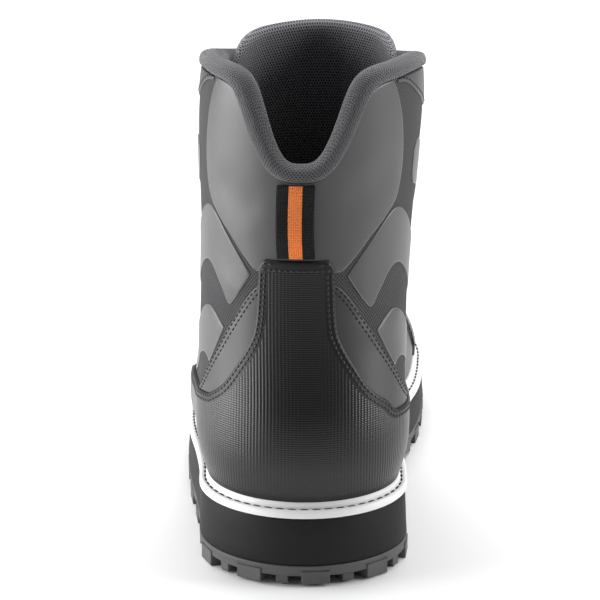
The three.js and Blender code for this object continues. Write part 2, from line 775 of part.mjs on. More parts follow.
// A lace hook: a base on the eyestay, a neck and a plate that holds the lace from outside.
function hook(place, side) {
  const base = eyestayThickness + eyeletSeat;
  const box = (w, l, t, x, z) => solidOf(new THREE.BoxGeometry(w, l, t).translate(x, 0, z + t / 2));
  const neck = hookWidth / 4;
  return box(hookWidth, hookLength, hookPlate, 0, base)
    .add(box(neck, hookLength * 0.6, hookMouth + 2 * hookPlate, side * neck, base))
    .add(box(hookWidth, hookLength * 0.85, hookPlate, 0, base + hookPlate + hookMouth))
    .transform(frameAt(place, 0).elements);
}

// A tube along a path, whose rings stand square to it. outward points away from the boot.
function tube(path, outward, radius, sides) {
  const rings = path.map((point, i) => {
    const before = path[Math.max(i - 1, 0)];
    const after = path[Math.min(i + 1, path.length - 1)];
    const along = after.clone().sub(before).normalize();
    const up = outward[i].clone().addScaledVector(along, -outward[i].dot(along)).normalize();
    const across = along.clone().cross(up);
    return steps(0, 2 * Math.PI, sides)
      .slice(0, -1)
      .map((turn) =>
        point
          .clone()
          .addScaledVector(across, radius * Math.cos(turn))
          .addScaledVector(up, radius * Math.sin(turn)),
      );
  });
  return solidOf(loftGeometry(rings));
}

// The lace: a bar between the lowest eyelets, and from each eyelet a run to the next one up on the
// other side. Where two runs cross, one lies over the other and is joined to it.
function lace() {
  const radius = laceDiameter / 2;
  const beside = hookWidth / 2 + 2 * pieceGap + radius;
  const sides = [lacePoints(1, beside), lacePoints(-1, beside)];
  const lift = eyestayThickness + eyeletSeat + eyeletFlange + 2 * pieceGap + radius;
  const half = (first, hump) => {
    const corners = sides[0].map((_, i) => sides[(i + first) % 2][i]);
    if (first) corners.unshift(sides[0][0]);
    const path = [];
    const outward = [];
    corners.forEach((to, i) => {
      const from = corners[Math.max(i - 1, 0)];
      const shares = i ? steps(0, 1, 4).slice(1) : [0];
      const over = i && !(first && i === 1) ? hump : 0;
      for (const share of shares) {
        const [angle, row] = ["angle", "row"].map((key) => mix(from[key], to[key], share));
        const point = pointAt(angle, row, -lift - over * Math.sin(Math.PI * share) ** 2);
        path.push(point);
        outward.push(point.clone().sub(pointAt(angle, row, 0)));
      }
    });
    return tube(path, outward, radius, 6);
  };
  return half(0, 0).add(half(1, 0.75 * laceDiameter));
}

// Materials and the boot

const finish = (color, roughness, metalness = 0) => new THREE.MeshStandardMaterial({ color, roughness, metalness });
const finishes = {
  shell: finish(0x4a4a4c, 0.6),
  leather: finish(0x1d1d20, 0.5),
  knit: finish(0x57565c, 0.95),
  airMesh: finish(0x2a2a30, 0.95),
  webbing: finish(0xd9601f, 0.85),
  white: finish(0xeeeeec, 0.5),
  foam: finish(0x1c1c1e, 0.9),
  rubber: finish(0x4d4e50, 0.85),
  metal: finish(0x222224, 0.4, 0.6),
  cord: finish(0x1a1a1c, 0.9),
};

const boot = new THREE.Group();

function place(name, solid, material) {
  const mesh = new THREE.Mesh(geometryFrom(solid), material);
  mesh.name = name;
  boot.add(mesh);
}

place("outsole", outsole(), finishes.rubber);
place("midsole", midsole(), finishes.foam);
place("welt", welt(), finishes.white);
place("insole", insole(), finishes.foam);
place("upper", upperShell(), finishes.shell);
place("heel_counter", counter(), finishes.leather);
place("toe_cap", toeCap(), finishes.leather);
place("eyestay_inner", eyestay(1), finishes.leather);
place("eyestay_outer", eyestay(-1), finishes.leather);
place("collar", collar(), finishes.knit);
place("tongue", tongue(), finishes.airMesh);
place("pull_loop", pullLoop(), finishes.webbing);
for (const [side, word] of [[1, "inner"], [-1, "outer"]]) {
  lacePoints(side).forEach((at, i) => {
    if (i < eyeletPairs) place(`eyelet_${word}_${i + 1}`, eyelet(at), finishes.metal);
    else place(`hook_${word}_${i + 1 - eyeletPairs}`, hook(at, side), finishes.metal);
  });
}
place("lace", lace(), finishes.cord);

// The origin is the middle of the boot's box, on the floor.
const box = new THREE.Box3().setFromObject(boot);
const middle = box.getCenter(new THREE.Vector3());
boot.position.set(-middle.x, -middle.y, -box.min.z);

export default boot;
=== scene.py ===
"""A left wading boot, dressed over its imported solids.

The boot's surface is worked out here as the part's source works it out, in millimetres, from the
same sections. Every piece is placed on it by a turn round the boot, a height and a distance out.
"""

import math
from itertools import product

import bmesh
import bpy
import numpy as np
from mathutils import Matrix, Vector
from mathutils.geometry import delaunay_2d_cdt

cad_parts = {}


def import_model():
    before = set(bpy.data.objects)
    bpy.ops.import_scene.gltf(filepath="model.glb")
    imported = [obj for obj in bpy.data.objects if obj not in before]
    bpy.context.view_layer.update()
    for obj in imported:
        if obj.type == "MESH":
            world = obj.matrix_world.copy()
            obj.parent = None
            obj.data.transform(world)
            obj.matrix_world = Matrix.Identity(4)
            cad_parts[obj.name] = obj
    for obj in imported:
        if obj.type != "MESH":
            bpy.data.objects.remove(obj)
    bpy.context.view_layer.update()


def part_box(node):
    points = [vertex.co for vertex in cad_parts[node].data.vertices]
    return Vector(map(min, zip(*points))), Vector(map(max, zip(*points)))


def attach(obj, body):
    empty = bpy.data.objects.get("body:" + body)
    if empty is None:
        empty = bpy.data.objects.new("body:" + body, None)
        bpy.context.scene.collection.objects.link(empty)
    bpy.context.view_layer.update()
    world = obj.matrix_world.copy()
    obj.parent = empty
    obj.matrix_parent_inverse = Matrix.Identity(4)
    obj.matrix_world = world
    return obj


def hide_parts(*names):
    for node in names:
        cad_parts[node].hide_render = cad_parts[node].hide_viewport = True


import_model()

# Driving sizes, in millimetres, and turns in degrees
FOOT_LENGTH = 296.0
BALL_WIDTH = 96.0
LEG_HEIGHT = 196.0
WALL = 2.4
GAP = 0.3
COLLAR_SIDE = 210.0
COLLAR_FRONT = 196.0
NOTCH_DEPTH = 39.0
NOTCH_TURN = 25.5
THROAT_BASE = 97.0
THROAT_BASE_WIDTH = 30.0
THROAT_TOP_WIDTH = 48.0
PAD = 7.0
PAD_FRONT = 1.8
PAD_DEPTH = 46.0
ROLL_LAP = 3.0
ROLL_THICKNESS = 1.7
ROLL_RISE = 3.4
TONGUE_HEIGHT = 212.0
TONGUE_THICKNESS = 7.0
TONGUE_TOP_TURN = 82.0
TONGUE_CORNER = 14.0
TONGUE_BASE_WIDTH = 50.0
TONGUE_CLEARANCE = 0.7
TONGUE_TUCK = 26.0
WELT_REACH = 6.4
WELT_THICKNESS = 3.5
BEAD_WIDTH = 3.0
BEAD_HEIGHT = 2.6
MIDSOLE_HEEL = 20.5
MIDSOLE_FORE = 14.5
MIDSOLE_INSET = 0.8
MIDSOLE_FLARE = 0.8
OUTSOLE_BASE = 4.5
LUG_HEIGHT = 4.5
LUG_PROUD = 0.6
LUG_WIDTH = 12.5
NUB_WIDTH = 5.5
LUG_DEPTH = 13.0
LUG_GAP = 3.6
STUD_PITCH = 22.0
STUD_SIZE = 11.0
TOE_SPRING = 14.0
ARCH_LIFT = 4.0
HEEL_BEVEL = 1.2
INSOLE_RISE = 4.5
COUNTER_HEIGHT = 135.0
COUNTER_WING = 66.0
COUNTER_STRIP = 32.4
COUNTER_LENGTH = 104.0
SEAM_SHIFT = -1.8
TOE_CAP_LENGTH = 58.0
TOE_CAP_SWEEP = 34.0
EYESTAY_WIDTH = 21.0
EYESTAY_DROP = 9.0
EYESTAY_BEND = 26.0
EYESTAY_BACK_TURN = 116.0  # the furthest back that the eyestays reach, in degrees
EYELET_PAIRS = 5
HOOK_PAIRS = 2
EYELET_SET = 8.0
HOOK_WIDTH = 8.0
HOOK_LENGTH = 9.0
HOOK_PLATE = 1.0
HOOK_MOUTH = 3.4
LACE = 3.6
LOOP_WIDTH = 15.6
LOOP_THICKNESS = 1.4
LOOP_STAND = 7.0
LOOP_STRIPE = 5.4
WELT_GROOVE = GAP + BEAD_WIDTH + 0.75  # from the upper's foot to the row of stitches

# Sections of the upper, from the welt to above the collar
SECTIONS = [
    # up, back, front, heel, fore, foot, lean, heel round, toe round
    (0.0, 0.0, 1.0, 0.393, 0.491, 1.0, 0.0, 0.128, 0.21),
    (0.03, -0.006, 1.01, 0.416, 0.506, 1.0, 0.0, 0.135, 0.215),
    (0.08, -0.013, 1.0, 0.446, 0.478, 1.0, 0.0, 0.145, 0.23),
    (0.13, -0.013, 0.957, 0.452, 0.415, 0.95, 0.0, 0.149, 0.25),
    (0.18, -0.007, 0.875, 0.449, 0.365, 0.8, 0.0, 0.15, 0.265),
    (0.22, 0.002, 0.79, 0.449, 0.355, 0.6, -0.001, 0.152, 0.265),
    (0.27, 0.012, 0.71, 0.45, 0.362, 0.4, -0.004, 0.158, 0.25),
    (0.33, 0.023, 0.65, 0.454, 0.382, 0.22, -0.008, 0.168, 0.23),
    (0.41, 0.034, 0.603, 0.457, 0.406, 0.1, -0.012, 0.178, 0.215),
    (0.51, 0.042, 0.56, 0.465, 0.438, 0.0, -0.012, 0.188, 0.205),
    (0.63, 0.043, 0.526, 0.479, 0.469, 0.0, -0.008, 0.195, 0.205),
    (0.78, 0.037, 0.507, 0.492, 0.498, 0.0, 0.0, 0.204, 0.21),
    (0.9, 0.03, 0.5, 0.466, 0.476, 0.0, 0.006, 0.207, 0.214),
    (1.0, 0.026, 0.497, 0.42, 0.43, 0.0, 0.008, 0.208, 0.216),
]
UP, BACK, FRONT, HEEL, FORE, FOOT, LEAN, HEEL_ROUND, TOE_ROUND = np.array(SECTIONS).T
LAST = len(SECTIONS) - 1

# The outline of a foot: half width and centre, at equal steps from back to front
FOOT_OUTLINE = [(1.0, 0.0), (1.0, 0.0), (1.07, -0.1), (0.95, -0.13), (1.02, -0.085), (0.97, -0.08),
                (0.87, -0.02)]
OUTLINE_HALF, OUTLINE_CENTRE = np.array(FOOT_OUTLINE).T

# The counter's edge from its top to its wing: how far across and up it lies
COUNTER_EDGE = [(0.0, 1.0), (0.75, 1.0), (0.93, 0.95), (1.0, 0.62), (1.15, 0.49), (1.5, 0.34), (1.85, 0.21),
                (2.25, 0.12), (2.6, 0.03), (3.6, 0.0)]

MM = 0.001
SIDES = (("inner", 1), ("outer", -1))
TURN_SCALE = 50.0  # for a radian of turn, in the drawings of the panels
ROW_SCALE = 16.0  # for a row of the sections, in the drawings of what runs over the toe
FOOT_LEVEL = 34.0  # about the height of the upper's foot at the heel
STEP = 1e-3  # of a turn or a row, for slopes

# The part's own frame, found from two of its solids
loop_low, loop_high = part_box("pull_loop")
sole_low, sole_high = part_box("midsole")
SHIFT = np.array([(loop_low.x + loop_high.x) / 2 / MM - SEAM_SHIFT,
                  (sole_low.y + sole_high.y) / 2 / MM - FOOT_LENGTH / 2, 0.0])


# Numbers and lines


def mix(a, b, share):
    return a + (b - a) * share


def ramp(low, high, x):
    share = np.clip((x - low) / (high - low), 0, 1)
    return share * share * (3 - 2 * share)


def unit(way):
    return way / np.maximum(np.linalg.norm(way, axis=-1, keepdims=True), 1e-9)


def running(line):
    """Lengths along a line, at each of its points."""
    return np.concatenate([[0], np.cumsum(np.linalg.norm(np.diff(line, axis=0), axis=-1))])


def halved(low, high, before):
    """The place at which a test turns from true to false, found by halving."""
    for _ in range(24):
        middle = (low + high) / 2
        keep = before(middle)
        low, high = np.where(keep, middle, low), np.where(keep, high, middle)
    return (low + high) / 2


def spline(values, place):
    """A uniform cubic spline over a list of values, at fractional places in it."""
    full = np.concatenate([[2 * values[0] - values[1]], values, [2 * values[-1] - values[-2]]])
    k = np.clip(np.floor(place), 0, len(values) - 2).astype(int)
    f = place - k
    a, b, c, d = (full[k + i] for i in range(4))
    near = (3 * f**3 - 6 * f**2 + 4) * b
    following = (-3 * f**3 + 3 * f**2 + 3 * f + 1) * c
    return ((1 - f) ** 3 * a + near + following + f**3 * d) / 6


def run_through(points, step=1.0):
    """A smooth line through points, as points about a step apart."""
    p = np.asarray(points, float)
    full = np.concatenate([2 * p[:1] - p[1:2], p, 2 * p[-1:] - p[-2:-1]])
    out = []
    for a, b, c, d in zip(full, full[1:], full[2:], full[3:]):
        count = max(1, int(np.linalg.norm(c - b) / step))
        t = np.arange(count)[:, None] / count
        bend = (2 * a - 5 * b + 4 * c - d) * t**2 + (3 * b - a - 3 * c + d) * t**3
        out.append(0.5 * (2 * b + (c - a) * t + bend))
    return np.concatenate([*out, p[-1:]])


def straight(points, step=1.0):
    p = np.asarray(points, float)
    out = []
    for a, b in zip(p, p[1:]):
        count = max(1, int(np.linalg.norm(b - a) / step))
        out.append(a + (b - a) * np.arange(count)[:, None] / count)
    return np.concatenate([*out, p[-1:]])


def on_line(line, places):
    """Points of a line at lengths along it."""
    run = running(line)
    return np.stack([np.interp(places, run, column) for column in line.T], -1)


def resample(line, step):
    """Points a step apart along a closed line."""
    closed = np.concatenate([line, line[:1]])
    length = running(closed)[-1]
    count = int(length / step)
    return on_line(closed, np.arange(count) * length / count)


def spread(line, count):
    """A number of points evenly along an open line."""
    return on_line(line, np.linspace(0, running(line)[-1], count))


# Heights of the sole along the foot


def spring(y):
    start = 0.79 * FOOT_LENGTH
    return TOE_SPRING * (np.maximum(0, y - start) / (FOOT_LENGTH + WELT_REACH - start)) ** 2


def arch(y):
    return ARCH_LIFT * ramp(0.34, 0.42, y / FOOT_LENGTH) * (1 - ramp(0.5, 0.58, y / FOOT_LENGTH))


def tread(y):
    return spring(y) + arch(y) + HEEL_BEVEL * (1 - ramp(-WELT_REACH, 0.07 * FOOT_LENGTH, y))


def outsole_top(y):
    return OUTSOLE_BASE + LUG_HEIGHT + spring(y) + arch(y)


def midsole_top(y):
    thickness = mix(MIDSOLE_HEEL, MIDSOLE_FORE, ramp(0.18, 0.7, y / FOOT_LENGTH))
    return OUTSOLE_BASE + LUG_HEIGHT + spring(y) + thickness


def welt_top(y):
    return midsole_top(y) + GAP + WELT_THICKNESS


# The upper's surface. A turn is in radians from the back, positive to the inner side.


def level(turn, row=0.0):
    along = (1 - np.cos(turn)) / 2
    y = mix(spline(BACK, row), spline(FRONT, row), along) * FOOT_LENGTH
    return welt_top(y) + GAP + spline(UP, row) * LEG_HEIGHT


def surface(turn, row):
    turn, row = np.broadcast_arrays(np.asarray(turn, float), np.asarray(row, float))
    along = (1 - np.cos(turn)) / 2
    back = spline(BACK, row) * FOOT_LENGTH
    front = spline(FRONT, row) * FOOT_LENGTH
    y = mix(back, front, along)
    foot = spline(FOOT, row)
    station = along * (len(OUTLINE_HALF) - 1)
    width = mix(spline(HEEL, row), spline(FORE, row), ramp(0.25, 0.65, along))
    half = mix(1, spline(OUTLINE_HALF, station), foot) * BALL_WIDTH * width
    centre = BALL_WIDTH * (spline(LEAN, row) + foot * spline(OUTLINE_CENTRE, station))

    def round_end(share):
        return np.sqrt(np.maximum(0, 1 - (1 - np.minimum(share, 1)) ** 2))

    heel = round_end((y - back) / (spline(HEEL_ROUND, row) * FOOT_LENGTH))
    toe = round_end((front - y) / (spline(TOE_ROUND, row) * FOOT_LENGTH))
    x = centre + np.sign(np.sin(turn)) * half * heel * toe
    return np.stack([x, y, welt_top(y) + GAP + spline(UP, row) * LEG_HEIGHT], -1)


def outward(turn, row):
    turn, row = np.broadcast_arrays(np.asarray(turn, float), np.asarray(row, float))
    around = surface(turn + STEP, row) - surface(turn - STEP, row)
    rise = surface(turn, np.clip(row + STEP, 0, LAST)) - surface(turn, np.clip(row - STEP, 0, LAST))
    return unit(np.cross(around, rise))


def at(turn, row, out=0.0):
    p = surface(turn, row)
    return p + outward(turn, row) * (np.asarray(out, float) + folds(p))[..., None]


# Creases and dents: lines over the boot, with a width and a depth in millimetres
FOLDS = [
    ([(-44, 200, 50), (-24, 214, 74), (4, 222, 80), (30, 219, 70), (43, 214, 50)], 3.2, 0.75),
    ([(-43, 186, 54), (-22, 199, 84), (6, 205, 89), (30, 202, 78), (41, 196, 54)], 3.0, 0.65),
    ([(-40, 232, 50), (-18, 238, 70), (14, 240, 72), (36, 234, 52)], 2.6, 0.45),
    ([(38, 132, 66), (41, 112, 82), (42, 92, 92)], 3.4, 0.7),
    ([(37, 140, 84), (41, 118, 98), (42, 98, 105)], 3.0, 0.55),
    ([(-44, 130, 64), (-45, 110, 80), (-44, 90, 90)], 3.4, 0.7),
    ([(-42, 138, 84), (-44, 116, 98), (-43, 96, 104)], 3.0, 0.5),
    ([(-40, 44, 118), (-34, 26, 113), (-24, 17, 111)], 4.5, 0.55),
    ([(40, 44, 116), (33, 25, 112), (23, 16, 111)], 4.5, 0.55),
    ([(-38, 34, 168), (-28, 19, 158), (-16, 12, 155)], 6.5, 0.5),
    ([(38, 36, 172), (30, 20, 161), (18, 13, 156)], 6.5, 0.5),
    ([(36, 128, 50), (40, 116, 46), (42, 104, 48)], 2.2, 0.4),
]
FOLD_LINES = [(run_through(points, 12.0), width, depth) for points, width, depth in FOLDS]


def folds(points):
    """How far the creases move points of the surface outwards."""
    p = np.asarray(points, float)
    total = np.zeros(p.shape[:-1])
    for line, width, depth in FOLD_LINES:
        near = np.full(p.shape[:-1], 1e9)
        place = np.zeros(p.shape[:-1])
        for k in range(len(line) - 1):
            way = line[k + 1] - line[k]
            share = np.clip(((p - line[k]) @ way) / (way @ way), 0, 1)
            far = np.linalg.norm(p - line[k] - share[..., None] * way, axis=-1)
            closer = far < near
            near = np.where(closer, far, near)
            place = np.where(closer, (k + share) / (len(line) - 1), place)
        fade = ramp(0.0, 0.22, place) * ramp(0.0, 0.22, 1 - place)
        trough = -np.exp(-((near / width) ** 2)) + 0.4 * np.exp(-(((near - 2.1 * width) / width) ** 2))
        total = total + depth * fade * trough
    return total


def row_at(turn, height):
    """The row whose surface has a height, at a turn."""
    turn, height = np.broadcast_arrays(np.asarray(turn, float), np.asarray(height, float))
    row = np.interp((height - FOOT_LEVEL) / LEG_HEIGHT, UP, np.arange(LAST + 1.0))
    for _ in range(7):
        here = level(turn, row)
        above = np.minimum(row + STEP, LAST)
        slope = (level(turn, above) - level(turn, above - STEP)) / STEP
        row = np.clip(row - (here - height) / np.maximum(slope, 2.0), 0, LAST)
    return row


# Real lengths round the boot, for stitches and weaves: a table of heights and turns for each side
ARC_TURNS = np.linspace(0, math.pi, 241)
ARC_LOW, ARC_HIGH = 30, 214
ARC_HEIGHTS = np.linspace(ARC_LOW, ARC_HIGH, 93)


def arc_table(side):
    turns = side * ARC_TURNS[None, :]
    p = surface(turns, row_at(turns, ARC_HEIGHTS[:, None]))
    steps = np.linalg.norm(np.diff(p, axis=1), axis=-1)
    return np.concatenate([np.zeros((len(ARC_HEIGHTS), 1)), np.cumsum(steps, axis=1)], 1)


ARCS = {side: arc_table(side) for _, side in SIDES}


def table_place(share, count):
    """The step of a table in which a share of its length lies, and how far into it."""
    place = np.clip(share * (count - 1), 0, count - 1.001)
    return place.astype(int), place - place.astype(int)


def arc_at(turn, height):
    """The length round the boot from the middle of its back, signed as the turn is."""
    turn, height = np.asarray(turn, float), np.asarray(height, float)
    i, across = table_place(np.abs(turn) / math.pi, len(ARC_TURNS))
    k, up = table_place((height - ARC_LOW) / (ARC_HIGH - ARC_LOW), len(ARC_HEIGHTS))

    def length(table):
        low, high = (mix(table[row, i], table[row, i + 1], across) for row in (k, k + 1))
        return mix(low, high, up)

    return np.where(turn < 0, -length(ARCS[-1]), length(ARCS[1]))


def turn_at(arc, height):
    """The turn that has a length round the boot, at a height."""
    turns = []
    for length, z in zip(arc, height):
        table = ARCS[-1 if length < 0 else 1]
        k, up = table_place(np.array((z - ARC_LOW) / (ARC_HIGH - ARC_LOW)), len(ARC_HEIGHTS))
        turn = np.interp(abs(length), mix(table[k], table[k + 1], up), ARC_TURNS)
        turns.append(math.copysign(turn, length))
    return np.array(turns)


def drawing(turn, height):
    """Points of the flat drawing."""
    return np.stack([turn * TURN_SCALE, height], -1)


def beside(line, reach):
    """A line of the flat drawing moved sideways by a real length, to the left of its run."""
    real = np.stack([arc_at(line[:, 0] / TURN_SCALE, line[:, 1]), line[:, 1]], -1)
    way = unit(np.gradient(real, axis=0))
    moved = real + np.stack([-way[:, 1], way[:, 0]], -1) * reach
    return drawing(turn_at(moved[:, 0], moved[:, 1]), moved[:, 1])


def outline(turn, reach):
    """A point of the welt's plane, at a distance outside the upper's lowest outline."""
    way = surface(turn + STEP, 0.0) - surface(turn - STEP, 0.0)
    way = unit(np.stack([way[..., 1], -way[..., 0]], -1))
    return surface(turn, 0.0)[..., :2] + way * np.asarray(reach, float)[..., None]


def from_back(turn):
    """How far round from the middle of the back a turn is, on either side."""
    return np.abs(np.arctan2(np.sin(turn), np.cos(turn)))


def collar_height(turn):
    away = from_back(turn)
    side = mix(COLLAR_SIDE, COLLAR_FRONT, ramp(math.radians(60), math.radians(150), away))
    return side - NOTCH_DEPTH * np.exp(-((away / math.radians(NOTCH_TURN)) ** 3))


def pad_at(turn):
    return mix(PAD, PAD_FRONT, ramp(math.radians(95), math.radians(140), from_back(turn)))


THROAT_SLOPE = (THROAT_TOP_WIDTH - THROAT_BASE_WIDTH) / 2 / (COLLAR_FRONT - THROAT_BASE)


def throat_half(height):
    return THROAT_BASE_WIDTH / 2 + THROAT_SLOPE * (height - THROAT_BASE)


def slot_half(height):
    """Half width of the lacing slot at a height, which is nothing below its round end."""
    half = THROAT_BASE_WIDTH / 2
    low = np.clip(height - THROAT_BASE, 0, half)
    above = THROAT_SLOPE * np.maximum(0, height - THROAT_BASE - half)
    return np.sqrt(half**2 - (half - low) ** 2) + above


def turn_across(across, height, front=True):
    """The turn at which the surface is a signed distance across from the middle, at a height."""
    across, height = np.broadcast_arrays(np.asarray(across, float), np.asarray(height, float))
    side = np.where(across < 0, -1.0, 1.0)

    def before(turn):
        x = surface(side * turn, row_at(side * turn, height))[..., 0]
        return (x * side > across * side) == front

    low, high = (100, 180) if front else (0, 88)
    return side * halved(math.radians(low), math.radians(high), before)


# Bodies: points, faces and, for some, places in a drawing for the weave


def make(name, body, material, replaces=(), sharp=40, second=None):
    """A mesh from a body in the part's millimetres, riding on the boot."""
    points, faces, uv = body
    mesh = bpy.data.meshes.new(name)
    world = (np.asarray(points, float) + SHIFT) * MM
    mesh.from_pydata(world.tolist(), [], [list(map(int, f)) for f in faces])
    mesh.validate()
    mesh.materials.append(material)
    if second:
        mesh.materials.append(second)
    if uv is not None:
        corners = np.zeros(len(mesh.loops), int)
        mesh.loops.foreach_get("vertex_index", corners)
        mesh.uv_layers.new(name="UVMap").data.foreach_set("uv", np.asarray(uv, float)[corners].ravel())
    mesh.polygons.foreach_set("use_smooth", [True] * len(mesh.polygons))
    mesh.set_sharp_from_angle(angle=math.radians(sharp))
    thing = bpy.data.objects.new(name, mesh)
    bpy.context.scene.collection.objects.link(thing)
    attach(thing, "root")
    if replaces:
        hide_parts(*replaces)
    return thing


def joined(bodies):
    """One body from several."""
    points, faces, uvs = [], [], []
    for p, f, uv in bodies:
        faces += [tuple(i + len(points) for i in face) for face in f]
        points += list(p)
        uvs += [] if uv is None else list(uv)
    return np.array(points), faces, np.array(uvs) if uvs else None


def grid_faces(rings, count, closed=False):
    """Faces between rings of points, and from the last ring to the first if closed."""
    faces = []
    for i in range(rings if closed else rings - 1):
        k = (i + 1) % rings
        for j in range(count):
            m = (j + 1) % count
            faces.append((i * count + j, i * count + m, k * count + m, k * count + j))
    return faces


def capped(rings, count):
    """Faces between rings of points, with a cap at both ends."""
    ends = [tuple(range(count - 1, -1, -1)), tuple(range((rings - 1) * count, rings * count))]
    return grid_faces(rings, count) + ends


def loft(rings, closed=False):
    """A body from rings of points, capped unless it closes on itself. Its drawing has real lengths."""
    grid = np.asarray(rings, float)
    n, m = grid.shape[:2]
    faces = grid_faces(n, m, True) if closed else capped(n, m)
    uv = np.stack(np.meshgrid(running(grid.mean(1)), running(grid[n // 2]), indexing="ij"), -1)
    return *outside_out(grid.reshape(-1, 3), faces), uv.reshape(-1, 2)


def outside_out(points, faces):
    """Turns a closed body's faces round if they point inwards."""
    p = np.asarray(points)
    corners = np.array([(f[0], f[k], f[k + 1]) for f in faces for k in range(1, len(f) - 1)])
    first, second, third = (p[corners[:, k]] for k in range(3))
    volume = (first * np.cross(second, third)).sum()
    return p, (faces if volume >= 0 else [tuple(reversed(f)) for f in faces])


def edge_distance(points, line):
    """Distance of 2-D points from a closed line."""
    best = np.full(len(points), 1e9)
    for a, b in zip(line, np.roll(line, -1, axis=0)):
        way = b - a
        share = np.clip((points - a) @ way / max(way @ way, 1e-9), 0, 1)
        best = np.minimum(best, np.linalg.norm(points - a - share[:, None] * way, axis=-1))
    return best


def inside(points, line):
    x, y = points.T
    result = np.zeros(len(points), bool)
    for (ax, ay), (bx, by) in zip(line, np.roll(line, -1, axis=0)):
        if ay != by:
            result ^= ((ay > y) != (by > y)) & (x < (bx - ax) * (y - ay) / (by - ay) + ax)
    return result


def cross_2d(a, b):
    return a[..., 0] * b[..., 1] - a[..., 1] * b[..., 0]


def fill(line, spacing, reaches):
    """Triangles over a closed line, with rows of points that follow its edge."""
    if cross_2d(line, np.roll(line, -1, axis=0)).sum() < 0:
        line = line[::-1]
    way = unit(np.roll(line, -1, axis=0) - np.roll(line, 1, axis=0))
    normal = np.stack([-way[:, 1], way[:, 0]], -1)
    sets = [line]
    for reach in reaches:
        moved = line + normal * reach
        sets.append(moved[inside(moved, line) & (edge_distance(moved, line) > 0.93 * reach)])
    low, high = line.min(0), line.max(0)
    xs = np.arange(low[0], high[0], spacing)
    ys = np.arange(low[1], high[1], spacing * 0.866)
    field = np.array([(x + (k % 2) * spacing / 2, y) for k, y in enumerate(ys) for x in xs])
    field = field[inside(field, line)]
    sets.append(field[edge_distance(field, line) > reaches[-1] + 0.5 * spacing])
    points = [Vector(p) for p in np.concatenate(sets)]
    result = delaunay_2d_cdt(points, [], [list(range(len(line)))], 1, 1e-6)
    flat = np.array([tuple(v) for v in result[0]])
    faces = np.array(result[2])
    a, b, c = (flat[faces[:, k]] for k in range(3))
    back = cross_2d(b - a, c - a) <= 0
    faces[back] = faces[back][:, [0, 2, 1]]
    return flat, [tuple(map(int, f)) for f in faces]


def rim_edges(faces):
    """Directed edges that only one face has."""
    edges = dict.fromkeys((f[i], f[(i + 1) % 3]) for f in faces for i in range(3))
    return [(a, b) for a, b in edges if (b, a) not in edges]


def flat_to_boot(flat, out):
    turn = flat[:, 0] / TURN_SCALE
    return at(turn, row_at(turn, flat[:, 1]), out)


def above_to_boot(flat, out):
    """From a drawing of turns and rows, for pieces that run over the toe."""
    return at(flat[:, 0] / TURN_SCALE, flat[:, 1] / ROW_SCALE, out)


def patch(name, line, kind, place=flat_to_boot, replaces=()):
    """A layer over the upper, from a closed line in its drawing, with a rounded rim."""
    material, slot, base, thickness, roundness, spacing, rim, band = LAYERS[kind]
    reaches = [roundness * share for share in (0.25, 0.6, 1.1)]
    if band > reaches[-1]:
        reaches += [band * 0.6, band] if band > 2 * reaches[-1] else [band]
    elif band:
        reaches[1] = band
    flat, faces = fill(np.asarray(line, float), spacing, reaches)
    far = edge_distance(flat, line)
    share = np.clip(far / roundness, 0, 1)
    rise = base + thickness * (0.35 + 0.65 * np.sqrt(1 - (1 - share) ** 2))
    front = place(flat, rise)
    back = place(flat, np.full(len(flat), base))
    n = len(flat)
    body = faces + [(f[2] + n, f[1] + n, f[0] + n) for f in faces]
    body += [(b, a, a + n, b + n) for a, b in rim_edges(faces)]
    real = flat
    if place is flat_to_boot:
        real = np.stack([arc_at(flat[:, 0] / TURN_SCALE, flat[:, 1]), flat[:, 1]], -1)
    whole = (np.concatenate([front, back]), body, np.concatenate([real, real]))
    thing = make(name, whole, material, replaces, 50, rim)
    # Rim paint: a real trim band on the counter and toe cap, and on the film panels a painted highlight
    # along the edge
    if rim:
        near = [int(far[list(f)].mean() < band and far[list(f)].max() < band * 1.06) for f in faces]
        thing.data.polygons.foreach_set("material_index", near * 2 + [1] * (len(body) - 2 * len(near)))


# Materials


